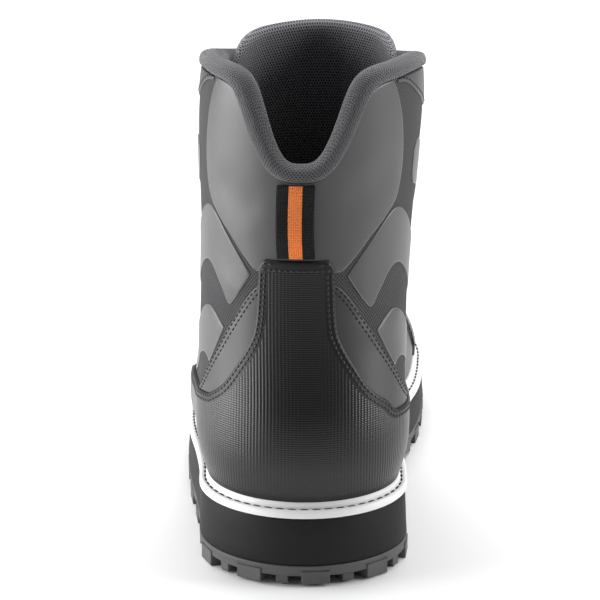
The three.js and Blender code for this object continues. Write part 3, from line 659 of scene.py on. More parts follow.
class Paint:
    """A short way to join shader nodes."""

    def __init__(self, name, color, roughness, **sockets):
        self.material = bpy.data.materials.new(name)
        self.material.use_nodes = True
        self.tree = self.material.node_tree
        self.shader = self.tree.nodes["Principled BSDF"]
        self.shader.inputs["Base Color"].default_value = (*color, 1)
        self.shader.inputs["Roughness"].default_value = roughness
        for key, value in sockets.items():
            self.shader.inputs[key.replace("_", " ")].default_value = value

    def node(self, kind, sockets=(), **values):
        """The outputs of a new node, whose sockets take numbers, colours or links."""
        node = self.tree.nodes.new(kind)
        for key, value in values.items():
            setattr(node, key, value)
        for key, value in dict(sockets).items():
            if isinstance(value, bpy.types.NodeSocket):
                self.tree.links.new(value, node.inputs[key])
            else:
                node.inputs[key].default_value = value
        return node.outputs

    def math(self, operation, *values):
        return self.node("ShaderNodeMath", enumerate(values), operation=operation)[0]

    def flat(self):
        """The two numbers of a drawing, in millimetres."""
        uv = self.node("ShaderNodeUVMap", uv_map="UVMap")[0]
        split = self.node("ShaderNodeSeparateXYZ", {0: uv})
        return split[0], split[1]

    def noise(self, scale, detail):
        place = self.node("ShaderNodeTexCoord")["Object"]
        return self.node("ShaderNodeTexNoise", {"Vector": place, "Scale": scale, "Detail": detail})["Fac"]

    def wave(self, value, pitch):
        """A smooth wave from 0 to 1 along a number, with a pitch in millimetres."""
        turned = self.math("MULTIPLY", value, math.tau / pitch)
        return self.math("MULTIPLY", self.math("ADD", self.math("SINE", turned), 1.0), 0.5)

    def dots(self, pitch, tall, size):
        """Round spots in staggered rows, 1 in their middles and 0 between them."""
        u, v = self.flat()
        rows = self.math("DIVIDE", v, tall)
        odd = self.math("MODULO", self.math("ABSOLUTE", self.math("FLOOR", rows)), 2.0)
        columns = self.math("ADD", self.math("DIVIDE", u, pitch), self.math("MULTIPLY", odd, 0.5))
        squares = []
        for count, step in ((columns, pitch), (rows, tall)):
            off = self.math("MULTIPLY", self.math("SUBTRACT", self.math("FRACT", count), 0.5), step)
            squares.append(self.math("MULTIPLY", off, off))
        away = self.math("DIVIDE", self.math("SQRT", self.math("ADD", *squares)), size)
        spot = {"Value": away, "From Min": 0.45, "From Max": 1.25, "To Min": 1.0, "To Max": 0.0}
        return self.node("ShaderNodeMapRange", spot, interpolation_type="SMOOTHSTEP")[0]

    def lead(self, source, socket):
        self.tree.links.new(source, self.shader.inputs[socket])

    def bump(self, height, strength, distance):
        sockets = {"Strength": strength, "Distance": distance, "Height": height}
        self.lead(self.node("ShaderNodeBump", sockets)[0], "Normal")


def grey(value, tint=0.0):
    return (value, value, value * (1 + tint))


def plain(name, color, roughness, grain=None, strength=0.2, detail=4, depth=0.0004, **sockets):
    paint = Paint(name, color, roughness, **sockets)
    if grain:
        paint.bump(paint.noise(grain, detail), strength, depth)
    return paint.material


def film_paint():
    paint = Paint("film", grey(0.066, 0.02), 0.38)
    paint.bump(paint.noise(900, 2), 0.12, 0.0003)
    sockets = {"Value": paint.noise(60, 3), "To Min": 0.34, "To Max": 0.43}
    paint.lead(paint.node("ShaderNodeMapRange", sockets)[0], "Roughness")
    return paint.material


def counter_paint():
    paint = Paint("counter", grey(0.003, 0.25), 0.31, Specular_IOR_Level=0.5)
    u, v = paint.flat()
    weave = paint.math("ADD", paint.wave(u, 1.45), paint.math("MULTIPLY", paint.wave(v, 0.9), 0.8))
    paint.bump(paint.math("MULTIPLY", weave, 0.55), 0.42, 0.0004)
    return paint.material


def mesh_paint(name, color, roughness, spots, thread, hole, strength, depth, **sockets):
    """Cloth with open spots in staggered rows."""
    paint = Paint(name, color, roughness, **sockets)
    holes = paint.dots(*spots)
    sockets = {"Factor": holes, "A": (*thread, 1), "B": (*hole, 1)}
    paint.lead(paint.node("ShaderNodeMix", sockets, data_type="RGBA")["Result"], "Base Color")
    paint.bump(paint.math("SUBTRACT", 1.0, holes), strength, depth)
    return paint.material


def webbing_paint(name, color, **sockets):
    paint = Paint(name, color, 0.75, **sockets)
    u, v = paint.flat()
    paint.bump(paint.math("MULTIPLY", paint.wave(u, 1.15), paint.wave(v, 0.9)), 0.9, 0.0007)
    return paint.material


FILM = film_paint()
# A lighter band on the film panels' edges and cut sides: a painted highlight, where their bevel would catch
# the light
FILM_EDGE_HIGHLIGHT = plain("film_edge_highlight", grey(0.16, 0.02), 0.35)
QUARTER = plain("quarter", grey(0.033, 0.03), 0.43, 1400, 0.25, 3, 0.0003)
VAMP = plain("vamp", grey(0.07, 0.02), 0.45, 1200, 0.25, 3, 0.0003)
COUNTER = counter_paint()
SIDE_MESH = mesh_paint("side_mesh", grey(0.03, 0.06), 0.85, (1.5, 0.85, 0.42), grey(0.062, 0.06),
                       grey(0.01, 0.06), 0.6, 0.0004)
AIR_MESH = mesh_paint("air_mesh", grey(0.03, 0.12), 0.9, (1.6, 1.25, 0.55), grey(0.2, 0.1),
                      grey(0.014, 0.12), 0.8, 0.0006, Sheen_Weight=0.25)
KNIT = mesh_paint("knit", grey(0.08, 0.1), 0.92, (1.25, 0.85, 0.38), grey(0.09, 0.09),
                  grey(0.018, 0.09), 0.8, 0.0006, Sheen_Weight=0.3)
WEBBING = webbing_paint("webbing", grey(0.008, 0.05), Specular_IOR_Level=0.2)
STRIPE = webbing_paint("stripe", (0.9, 0.22, 0.04))
CORD = webbing_paint("cord", grey(0.01, 0.05))
WELT = plain("welt", grey(0.82), 0.42, 700, 0.15)
FOAM = plain("foam", grey(0.012, 0.05), 0.62, 1500, 0.45, Specular_IOR_Level=0.2)
RUBBER = plain("rubber", grey(0.085, 0.03), 0.6, 900, 0.3)
TRIM = plain("trim", grey(0.006, 0.1), 0.4, 1500, 0.2, Specular_IOR_Level=0.4)
METAL = plain("metal", grey(0.015, 0.05), 0.38, Metallic=0.5)
THREAD = plain("thread", grey(0.006, 0.05), 0.7, Specular_IOR_Level=0.3)
GLOSS_THREAD = plain("gloss_thread", grey(0.012, 0.1), 0.36)
LINING = plain("lining", grey(0.02, 0.1), 0.95, 1500, 0.3)

# Layers on the upper: paint, slot, distance out, thickness, rounding of the rim, spacing of the points
# inside it, and the paint and width of the rim
LAYERS = {
    # The film layers' rim paint is lighter than the film: a painted highlight along their edges
    "shield": (FILM, "quarter_leather", 0.05, 0.55, 0.8, 3.0, FILM_EDGE_HIGHLIGHT, 0.42),
    "film": (FILM, "quarter_leather", 0.05, 0.5, 0.8, 3.0, FILM_EDGE_HIGHLIGHT, 0.42),
    "quarter": (QUARTER, "quarter_leather", 0.1, 0.75, 0.8, 3.0, None, 0.0),
    "vamp": (VAMP, "quarter_leather", 0.05, 0.6, 0.8, 2.8, None, 0.0),
    "ankle": (QUARTER, "quarter_leather", 0.05, 0.6, 0.8, 3.0, None, 0.0),
    "counter": (COUNTER, "counter_leather", 0.3, 1.5, 1.1, 2.2, TRIM, 4.0),
    "toe_cap": (COUNTER, "toe_cap_leather", 0.3, 1.5, 1.1, 2.5, TRIM, 4.0),
    "eyestay": (QUARTER, "eyestay_leather", 0.3, 1.3, 1.0, 2.5, None, 0.0),
}


# The upper's shell, as one closed wall open at the slot, the collar and underneath


def slot_turn(share, side):
    """The turn of the shell's edge at the slot, at a share of the way up, on one side."""

    def before(turn):
        z = mix(level(turn), collar_height(turn), share)
        return np.abs(surface(side * turn, row_at(side * turn, z))[..., 0]) > slot_half(z)

    return halved(math.radians(120), math.pi, before)


def shell():
    foot = 41.0  # about the height of the upper's foot below the slot
    start = (THROAT_BASE - foot) / (COLLAR_FRONT - foot)
    low, high = np.linspace(0, start, 70)[:-1], start + np.linspace(0, 1, 120) ** 1.5 * (1 - start)
    shares = np.concatenate([low, high])
    inner_end, outer_end = (slot_turn(shares, side)[:, None] for _, side in SIDES)
    across = np.linspace(-1, 1, 300)
    turn = across * np.where(across < 0, outer_end, inner_end)
    z = mix(level(turn), collar_height(turn), shares[:, None])
    rows = row_at(turn, z)
    grid = np.concatenate([at(turn, rows), at(turn, rows, -WALL)[:, ::-1]], 1)
    n, m = grid.shape[:2]
    faces = grid_faces(n, m)
    for base in (0, (n - 1) * m):
        for j in range(m // 2 - 1):
            quad = (base + j, base + j + 1, base + m - 2 - j, base + m - 1 - j)
            faces.append(quad if base else quad[::-1])
    flat = np.stack([arc_at(turn, z), z], -1)
    uv = np.concatenate([flat, flat[:, ::-1]], 1).reshape(-1, 2)
    body = (*outside_out(grid.reshape(-1, 3), faces), uv)
    make("upper_shell", body, SIDE_MESH, ["upper"])


# Panels, in the flat drawing. Their tables give a turn in degrees and a height in millimetres.


def drawn(points, side=1):
    turn, height = np.array(points, float).T
    return drawing(np.radians(side * turn), height)


def smooth(points, side=1):
    return run_through(drawn(points, side))


def far_side(points):
    """The same heights on the outer side, with turns that go on past the front."""
    return [(360 - t, z) for t, z in points]


def collar_line(a, b, drop, count):
    turns = np.radians(np.linspace(a, b, count))
    return drawing(turns, collar_height(turns) - drop)


SHIELD_SIDE = [(51, 203), (54, 190), (54.5, 172), (51, 158), (44, 150.5), (34, 142.5), (26, 135),
               (19.5, 129.5)]
PANEL_DROP = ROLL_LAP + 0.8  # from the collar's edge to the panels below its roll


def shield():
    right, left = smooth(SHIELD_SIDE), smooth(SHIELD_SIDE, -1)[::-1]
    foot = straight([right[-1], left[0]])
    line = np.concatenate([collar_line(-50, 50, PANEL_DROP, 120), right, foot[1:-1], left])
    patch("shield_panel", line, "shield")


# Bent bands of film round each side: an upper line and a lower one
CHEVRONS = [
    (
        [(22, 127.5), (28, 134), (36, 142), (44, 149), (51, 151.5), (58, 148), (66, 139), (78, 122),
         (90, 107)],
        [(28.5, 117), (33, 113), (38, 119), (45, 126), (51.5, 127.5), (58, 123), (66, 112), (76, 97),
         (84, 86)],
    ),
    (
        [(34, 103), (40, 107), (46.5, 109), (53, 105), (60, 96), (68, 85), (74, 77)],
        [(41, 86), (44, 88), (48, 88), (52, 85), (56, 80), (60, 74), (64, 69)],
    ),
    (
        [(65.5, 166), (67, 172), (70.5, 175.5), (75.5, 175.5), (83, 169), (93, 156), (102, 142)],
        [(65.5, 161), (68, 157.5), (72.5, 156), (78, 152), (86, 142), (95, 128)],
    ),
]


def side_films():
    for word, side in SIDES:
        for k, (top, bottom) in enumerate(CHEVRONS):
            upper, lower = smooth(top, side), smooth(bottom, side)[::-1]
            front, back = straight([upper[-1], lower[0]])[1:-1], straight([lower[-1], upper[0]])[1:-1]
            patch(f"side_film_{word}_{k + 1}", np.concatenate([upper, front, lower, back]), "film")


QUARTER_SEAM = [(12, 126.5), (16.5, 124.3), (21.5, 119.5), (27, 111), (32.5, 101), (38.5, 89.5),
                (44.5, 76.5), (49.5, 70.5)]
QUARTER_REST = [(60, 67), (76.5, 63.5), (72.8, 52), (72.8, 50), (30, 50), (4, 110), (4, 126.5)]


def quarters():
    for word, side in SIDES:
        seam = smooth(QUARTER_SEAM, side)
        rest = straight([seam[-1], *drawn(QUARTER_REST, side), seam[0]])
        patch(f"quarter_{word}", np.concatenate([seam, rest[1:-1]]), "quarter")


# The vamp and the panel under the collar, beside the eyestay
VAMP_SEAM = [(70, 40), (73, 52), (79, 68), (90, 84), (106, 96), (124, 102), (142, 102)]
VAMP_FRONT = [(142, 102), (150, 97), (162, 94.6), (180, 94.2), (198, 94.6), (210, 97), (218, 102)]


def row_line(flat):
    """A line of the flat drawing in the drawing of turns and rows."""
    return np.stack([flat[:, 0], row_at(flat[:, 0] / TURN_SCALE, flat[:, 1]) * ROW_SCALE], -1)


def vamp():
    outer = smooth(far_side(VAMP_SEAM))[::-1]
    top = row_line(np.concatenate([smooth(VAMP_SEAM), smooth(VAMP_FRONT)[1:-1], outer]))
    foot = straight([(top[-1, 0], 0.1 * ROW_SCALE), (top[0, 0], 0.1 * ROW_SCALE)], 3.0)
    line = resample(np.concatenate([top, foot]), 1.8)
    patch("vamp_panel", line, "vamp", above_to_boot)


ANKLE_EDGE = [(52.5, 204.5), (57, 204), (63, 201.5), (72, 196), (84, 190), (97, 184.5), (112, 180),
              (124, 178)]


def ankle_panels():
    for word, side in SIDES:
        top = collar_line(side * 124, side * 52.5, PANEL_DROP, 90)
        line = resample(np.concatenate([smooth(ANKLE_EDGE, side), top]), 1.2)
        patch(f"ankle_panel_{word}", line, "ankle")


# The counter, the toe cap and the eyestays


def counter_edge(side):
    """The counter's edge on one side in the flat drawing, from its top to the end of its wing."""
    half = COUNTER_STRIP / 2
    points = [(a * half, mix(COUNTER_WING, COUNTER_HEIGHT, r)) for a, r in COUNTER_EDGE]
    corner = (points[1][0] + 0.8, points[1][1])
    line = np.concatenate([[points[0], corner], run_through(points[2:], 2.0)])
    x = SEAM_SHIFT + side * line[:, 0]
    near = np.abs(x) < 0.41 * BALL_WIDTH
    edge = drawing(turn_across(x[near], line[near, 1], front=False), line[near, 1])
    wing_turn = side * math.acos(1 - 2 * COUNTER_LENGTH / FOOT_LENGTH)
    wing = (wing_turn * TURN_SCALE, COUNTER_WING - 0.5)
    return np.concatenate([edge, run_through([edge[-1], wing])[1:]])


def counter():
    right, left = counter_edge(1), counter_edge(-1)[::-1]
    turns = np.linspace(right[-1, 0] / TURN_SCALE, left[0, 0] / TURN_SCALE, 80)
    foot = drawing(turns, level(turns) + 0.8)
    ends = [straight(pair, 2.0)[1:-1] for pair in ([right[-1], foot[0]], [foot[-1], left[0]])]
    line = resample(np.concatenate([right[1:], ends[0], foot, ends[1], left[:-1]]), 1.5)
    patch("counter", line, "counter", replaces=["heel_counter"])


def toe_edge(half_turn, lowest):
    """Turns and rows at which the toe cap's edge, drawn from above, crosses the surface."""
    turns = np.linspace(math.pi - half_turn, math.pi + half_turn, 160)

    def before(row):
        p = surface(turns, row)
        edge = FOOT_LENGTH - TOE_CAP_LENGTH - TOE_CAP_SWEEP * (p[..., 0] / (0.6 * BALL_WIDTH)) ** 2
        return p[..., 1] > edge

    rows = halved(0.0, 9.0, before)
    return turns[rows > lowest], rows[rows > lowest]


def toe_cap():
    turns, rows = toe_edge(math.radians(62), 0.12)
    foot = drawing(turns[::-1], np.full(len(turns), 0.1 * ROW_SCALE))
    line = resample(np.concatenate([drawing(turns, rows * ROW_SCALE), foot]), 1.6)
    patch("toe_cap_skin", line, "toe_cap", above_to_boot, ["toe_cap"])


def eyestays():
    low = THROAT_BASE - EYESTAY_DROP
    bend = low + EYESTAY_BEND
    heights = np.linspace(bend, COLLAR_SIDE - ROLL_LAP - 2, 60)[1:]
    angles = np.linspace(0, math.pi / 2, 40)
    foot = np.maximum((throat_half(bend) + EYESTAY_WIDTH) * np.sin(angles), 0.4)
    outer_x = np.concatenate([foot, throat_half(heights) + EYESTAY_WIDTH])
    outer_z = np.concatenate([bend - EYESTAY_BEND * np.cos(angles), heights])
    inner_z = np.concatenate([THROAT_BASE + np.linspace(0, 1, 40) ** 2 * 15,
                              np.linspace(THROAT_BASE + 16, COLLAR_FRONT - ROLL_LAP - 1.7, 50)])
    middle = math.pi * TURN_SCALE - 0.4
    for word, side in SIDES:
        turn = np.maximum(np.abs(turn_across(side * outer_x, outer_z)), math.radians(EYESTAY_BACK_TURN))
        keep = outer_z < collar_height(turn) - ROLL_LAP - 1.5
        outer = drawing(turn, outer_z)[keep]
        inner = drawing(np.abs(turn_across(side * (slot_half(inner_z) + 0.4), inner_z)), inner_z)[::-1]
        turns = np.linspace(outer[-1, 0] / TURN_SCALE, inner[0, 0] / TURN_SCALE, 30)[1:-1]
        top = drawing(turns, collar_height(turns) - ROLL_LAP - 1.6)
        line = resample(np.concatenate([outer, top, inner, [(middle, THROAT_BASE), (middle, low)]]), 1.2)
        patch(f"eyestay_skin_{word}", (line * (side, 1))[::side], "eyestay", replaces=[f"eyestay_{word}"])


# Stitches

STITCH = [(0.0, 0.15), (0.12, 0.75), (0.35, 1.0), (0.65, 1.0), (0.88, 0.75), (1.0, 0.15)]  # place, girth
# Seams: how far out their stitches lie, their length and the gap between them
SEAMS = {
    "counter": (1.8, 1.75, 0.5),
    "quarter": (0.8, 1.7, 0.7),
    "edge": (0.62, 2.2, 0.9),
    "toe_cap": (1.75, 2.3, 0.8),
    "eyestay": (1.55, 2.3, 0.9),
}


def stitch(a, b, up, width):
    """A small rounded stitch between two points."""
    across = np.cross(unit(b - a), up)
    angles = np.arange(6)[:, None] * math.tau / 6
    ring = (across * np.cos(angles) + up * np.sin(angles) * 0.8) * width / 2
    points = np.concatenate([a + (b - a) * share + ring * size for share, size in STITCH])
    return points, capped(len(STITCH), 6), None


def stitch_row(path, ups, length, gap):
    """Ends and outward ways of even stitches along a line in space."""
    run = running(path)
    count = int(run[-1] / (length + gap))
    middles = (np.arange(count) + 0.5) * run[-1] / count
    out = np.stack([np.interp(middles, run, column) for column in ups.T], -1)
    return list(zip(on_line(path, middles - length / 2), on_line(path, middles + length / 2), unit(out)))


def stitch_run(line, seam, place=flat_to_boot):
    """A row of stitches along a line of a drawing."""
    out, length, gap = SEAMS[seam]
    path, above = (place(line, np.full(len(line), reach)) for reach in (out, out + 1.0))
    return stitch_row(path, above - path, length, gap)


def stitches(name, rows, material=THREAD, width=0.75):
    body = joined(stitch(*ends, width) for ends in rows)
    make(name, body, material, sharp=80)


def counter_rows():
    """Two rows along the counter's edge, and rows across the top of its strip, round the loop's end."""
    rows = []
    for _, side in SIDES:
        for reach in (1.4, 3.2):
            rows += stitch_run(beside(counter_edge(side)[3:], -side * reach), "counter")
    half, loop = COUNTER_STRIP / 2 - 2.6, LOOP_WIDTH / 2 + 1
    for drop, low, high in ((1.8, -half, -loop), (1.8, loop, half), (4.2, -half, half)):
        z = np.full(40, COUNTER_HEIGHT - drop)
        turn = turn_across(np.linspace(SEAM_SHIFT + low, SEAM_SHIFT + high, 40), z, front=False)
        rows += stitch_run(drawing(turn, z), "counter")
    return rows


def upper_rows():
    rows = []
    for _, side in SIDES:
        for reach in (0.9, 2.6):
            rows += stitch_run(beside(smooth(QUARTER_SEAM, side), -side * reach), "quarter")
        rows += stitch_run(beside(smooth(ANKLE_EDGE, side), side * 1.6), "edge")
    return rows


def toe_rows():
    turns, rows = toe_edge(math.radians(60), 0.8)
    lines = [drawing(turns, rows * ROW_SCALE - drop) for drop in (2.2, 5.5)]
    return [s for line in lines for s in stitch_run(line, "toe_cap", above_to_boot)]


def vamp_rows():
    rows = []
    for points, side in ((VAMP_SEAM, 1), (far_side(VAMP_SEAM), -1)):
        seam = row_line(smooth(points))[6:] + (side * 2.0, -0.9)
        rows += stitch_run(seam, "edge", above_to_boot)
    return rows


def eyestay_rows():
    rows = []
    z = np.linspace(THROAT_BASE + 4, COLLAR_FRONT - 8, 80)
    for _, side in SIDES:
        for reach in (2.2, EYESTAY_WIDTH - 2.4):
            turn = turn_across(side * (slot_half(z) + reach), z) % math.tau
            rows += stitch_run(drawing(turn, z), "eyestay")
    return rows


def sewing():
    stitches("counter_thread", counter_rows(), GLOSS_THREAD, 1.05)
    stitches("upper_thread", upper_rows())
    stitches("toe_thread", toe_rows())
    stitches("vamp_thread", vamp_rows())
    stitches("eyestay_thread", eyestay_rows())


# The collar's padding and roll


def edge_point(turn, rise, depth):
    """A point near the collar's edge; rise is square to the edge near it, and depth is inwards."""
    edge = [surface(t, row_at(t, collar_height(t))) for t in (turn - STEP, turn, turn + STEP)]
    along = edge[2] - edge[0]
    level_run = np.hypot(along[..., 0], along[..., 1])
    stretch = np.hypot(level_run, along[..., 2]) / level_run
    near = np.maximum(rise, -ROLL_LAP)
    return at(turn, row_at(turn, edge[1][..., 2] + near * stretch + rise - near), -depth)


def collar():
    start = float(turn_across(slot_half(np.array([COLLAR_FRONT]))[0] + GAP, COLLAR_FRONT))
    turns = np.linspace(-start, start, 260)
    wall = WALL + GAP
    roll_points = 30
    profiles = []
    for pad in pad_at(turns):
        full = wall + pad
        roll = [
            (-ROLL_LAP - 0.4, -0.25),
            (-ROLL_LAP + 0.2, -ROLL_THICKNESS * 0.85),
            (-ROLL_LAP * 0.3, -ROLL_THICKNESS * 1.2),
            (ROLL_RISE * 0.55, -ROLL_THICKNESS * 0.75),
            (ROLL_RISE, 0.25 * full),
            (ROLL_RISE * 0.85, 0.62 * full),
            (ROLL_RISE * 0.05, 0.93 * full),
            (-5, full),
        ]
        lining = [(-5.6, full - 0.9), (-8, full + 0.1), (-PAD_DEPTH * 0.5, wall + pad * 0.85),
                  (-PAD_DEPTH, wall + pad * 0.25)]
        back = [(-PAD_DEPTH, wall), (-PAD_DEPTH * 0.5, wall), (-ROLL_LAP, wall), (0.4, wall), (0.4, -0.25)]
        smooth_roll = spread(run_through(roll, 0.8), roll_points)
        profiles.append(np.concatenate([smooth_roll, spread(run_through(lining, 2.0), 18), back]))
    rise, depth = np.moveaxis(np.array(profiles), -1, 0)
    rings = edge_point(np.broadcast_to(turns[:, None], rise.shape), rise, depth)
    thing = make("collar_pad", loft(rings), KNIT, ["collar"], second=AIR_MESH)
    places = [[v % len(rings[0]) for v in face.vertices] for face in thing.data.polygons]
    inner = [int(len(p) == 4 and min(p) >= roll_points - 1) for p in places]
    thing.data.polygons.foreach_set("material_index", inner)


# The tongue, with creases on its inside: their place across it, width and depth

TONGUE_CREASES = [(0.18, 0.05, 0.5), (-0.22, 0.06, 0.4)]


def tongue():
    base = THROAT_BASE - EYESTAY_DROP
    bottom = base - TONGUE_TUCK * 0.45
    base_heights = np.linspace(bottom, TONGUE_HEIGHT, 30)
    base_turns = math.pi - turn_across(TONGUE_BASE_WIDTH / 2, base_heights)
    k = np.linspace(0, 1, 110)
    rounded = np.sqrt(np.clip(1 - ((k - 0.97) / 0.03).clip(0, 1) ** 2, 0.02, 1))
    rings, flats = [], []
    for share in np.linspace(-1, 1, 90):
        corner = 1 - math.sqrt(max(0.0, 1 - (max(0, abs(share) - 0.5) / 0.5) ** 2.5))
        heights = mix(bottom, TONGUE_HEIGHT - TONGUE_CORNER * corner, k)
        up = np.clip((heights - base) / (TONGUE_HEIGHT - base), 0, 1)
        base_turn = np.interp(heights, base_heights, base_turns)
        turn = math.pi + share * mix(base_turn, math.radians(TONGUE_TOP_TURN), up**0.9)
        row = row_at(turn, heights)
        thick = TONGUE_THICKNESS * (1 - 0.6 * share**4)
        middle = WALL + GAP + pad_at(turn) + TONGUE_CLEARANCE + thick * 0.5
        half = thick * 0.5 * rounded * (1 - 0.3 * share**8)
        crease = sum(d * math.exp(-(((share - s) / w) ** 2)) for s, w, d in TONGUE_CREASES)
        outer = at(turn, row, half - middle)
        inner = at(turn, row, crease * (1 - ramp(0.75, 1.0, k)) - middle - half)
        rings.append(np.concatenate([outer, inner[::-1]]))
        flat = np.stack([share * mix(28.0, 62.0, up), heights], -1)
        flats.append(np.concatenate([flat, flat[::-1]]))
    body = (*loft(rings)[:2], np.concatenate(flats))
    make("tongue_pad", body, AIR_MESH, ["tongue"])


# The pull loop: a band with thin edges and a raised stripe along its middle


def pull_loop():
    top = float(collar_height(0.0)) - ROLL_LAP - 1.2
    share = np.linspace(0, 1, 48)
    heights = mix(COUNTER_HEIGHT + 1, top, share)
    stand = GAP + LOOP_STAND * np.sin(math.pi * share) ** 0.8
    near, far = (at(0.0, row_at(0.0, heights), stand + out) for out in (0.0, LOOP_THICKNESS))
    way = unit(far - near)[:, None]
    half, stripe = LOOP_WIDTH / 2, LOOP_STRIPE / 2
    right = np.array([stripe - 0.1, stripe + 0.1, half - 0.5, half])
    columns = np.concatenate([-right[::-1], right])
    lift = np.array([-0.45, 0.0, 0.0, 0.22, 0.22, 0.0, 0.0, -0.45])[:, None]
    front, back = far[:, None] + way * lift, near[:, None] - way * np.minimum(lift, 0)
    rings = np.concatenate([front, back[:, ::-1]], 1)
    around = np.concatenate([columns, columns[::-1]])
    rings[..., 0] = SEAM_SHIFT + around
    flat = np.stack(np.meshgrid(heights, around, indexing="ij"), -1).reshape(-1, 2)
    body = (*loft(rings)[:2], flat)
    thing = make("loop_band", body, WEBBING, ["pull_loop"], second=STRIPE)
    places = [sorted(v % len(around) for v in face.vertices) for face in thing.data.polygons]
    index = [int(p in ([2, 2, 3, 3], [3, 3, 4, 4], [4, 4, 5, 5])) for p in places]
    thing.data.polygons.foreach_set("material_index", index)


# Eyelets, hooks and the lace

EYELET = [(2.3, -2.2), (3.0, -2.2), (3.0, 1.7), (4.3, 1.75), (4.4, 2.1), (4.0, 2.55), (3.3, 2.85),
          (2.7, 2.75), (2.35, 2.3)]  # radius and height round its ring
EYELET_FLANGE = 0.9
SEAT = 2.5  # from the upper to what sits on the eyestay
LOWEST_PAIR = 9.0  # above the slot's foot
TOP_PAIR = 12.0  # below the edge beside the tongue
PAIR_SPREAD = 1.15  # above 1, the upper pairs stand further apart


def lace_places(side, inset=0.0):
    places = []
    pairs = EYELET_PAIRS + HOOK_PAIRS
    for i in range(pairs):
        z = mix(THROAT_BASE + LOWEST_PAIR, COLLAR_FRONT - TOP_PAIR, (i / (pairs - 1)) ** PAIR_SPREAD)
        turn = float(turn_across(throat_half(z) + EYELET_SET - (0 if i < EYELET_PAIRS else inset), z))
        places.append((turn if side > 0 else math.tau - turn, float(row_at(turn, z))))
    return places


def frame_at(turn, row):
    out = outward(turn, row)
    up = unit(np.array([0, 0, 1.0]) - out * out[2])
    return at(turn, row), np.cross(up, out), up, out


def eyelets():
    for word, side in SIDES:
        for k, place in enumerate(lace_places(side)[:EYELET_PAIRS]):
            centre, across, up, out = frame_at(*place)
            angles = np.arange(28) * math.tau / 28
            ways = [across * math.cos(angle) + up * math.sin(angle) for angle in angles]
            ring = loft([[centre + way * r + out * z for r, z in EYELET] for way in ways], closed=True)
            make(f"eyelet_ring_{word}_{k + 1}", ring, METAL, [f"eyelet_{word}_{k + 1}"])


def rounded_box(half, bevel):
    """A box with its edges and corners cut off, as the hull of three points at each corner."""
    hull = bmesh.new()
    for signs in product((-1, 1), repeat=3):
        for axis in range(3):
            point = (half - bevel) * signs
            point[axis] = half[axis] * signs[axis]
            hull.verts.new(point)
    bmesh.ops.convex_hull(hull, input=hull.verts)
    hull.verts.index_update()
    points = np.array([v.co[:] for v in hull.verts])
    faces = [tuple(v.index for v in face.verts) for face in hull.faces]
    hull.free()
    return points, faces


def block(frame, low, high, bevel):
    """A box with rounded edges, in a place's frame."""
    centre, *axes = frame
    low, high = np.array(low), np.array(high)
    half = (high - low) / 2
    points, faces = rounded_box(half, min(bevel, *(half * 0.95)))
    return (points + (low + high) / 2) @ np.array(axes) + centre, faces, None


def hooks():
    """Hooks of three blocks each: a base, a neck and a plate over the lace."""
    half, neck = HOOK_WIDTH / 2, HOOK_WIDTH / 8
    top = SEAT + HOOK_PLATE + HOOK_MOUTH
    for word, side in SIDES:
        middle = side * 2 * neck
        parts = [  # half length, left, right, bottom, top, bevel
            (0.5, -half, half, SEAT, SEAT + HOOK_PLATE, 0.35),
            (0.3, middle - neck, middle + neck, SEAT + 0.5, top + 0.5, 0.3),
            (0.425, -half, half, top, top + HOOK_PLATE, 0.4),
        ]
        for k, place in enumerate(lace_places(side)[EYELET_PAIRS:]):
            frame = frame_at(*place)
            body = joined(
                block(frame, (a, -reach * HOOK_LENGTH, low), (b, reach * HOOK_LENGTH, high), bevel)
                for reach, a, b, low, high, bevel in parts
            )
            make(f"hook_body_{word}_{k + 1}", body, METAL, [f"hook_{word}_{k + 1}"], sharp=30)


def tube(path, outs, radius, flatten):
    """A cord along a line, a little flatter square to what it lies on."""
    padded = np.concatenate([path[:1], path, path[-1:]])
    along = unit(padded[2:] - padded[:-2])
    up = unit(outs - along * (outs * along).sum(-1, keepdims=True))[:, None]
    across = np.cross(along, up[:, 0])[:, None]
    angles = (np.arange(10) * math.tau / 10)[:, None]
    return loft(path[:, None] + across * radius * np.cos(angles) + up * radius * flatten * np.sin(angles))


def lace():
    """Two runs that cross over the tongue, from the lowest eyelets up. One lies over the other."""
    radius = LACE / 2
    sides = [lace_places(side, HOOK_WIDTH / 2 + 2 * GAP + radius) for _, side in SIDES]
    lift = SEAT + EYELET_FLANGE + 2 * GAP + radius
    cords = []
    for first, hump in ((0, 0.0), (1, 0.75 * LACE)):
        corners = [sides[(i + first) % 2][i] for i in range(len(sides[0]))]
        if first:
            corners.insert(0, sides[0][0])
        places = [(*corners[0], lift)]
        for i, (start, to) in enumerate(zip(corners, corners[1:])):
            over = 0.0 if first and i == 0 else hump
            for share in np.linspace(0, 1, 17)[1:]:
                turn, row = (mix(a, b, share) for a, b in zip(start, to))
                places.append((turn, row, lift + over * math.sin(math.pi * share) ** 2))
        turns, rows, lifts = np.array(places).T
        cords.append(tube(at(turns, rows, lifts), outward(turns, rows), radius, 0.85))
    make("lace_cords", joined(cords), CORD, ["lace"])


# The sole


def foot_ring(turns, reach, height):
    """Points at a distance outside the upper's foot, at heights worked out from their place along it."""
    xy = outline(turns, reach)
    return np.concatenate([xy, height(xy[:, 1])[:, None]], -1)


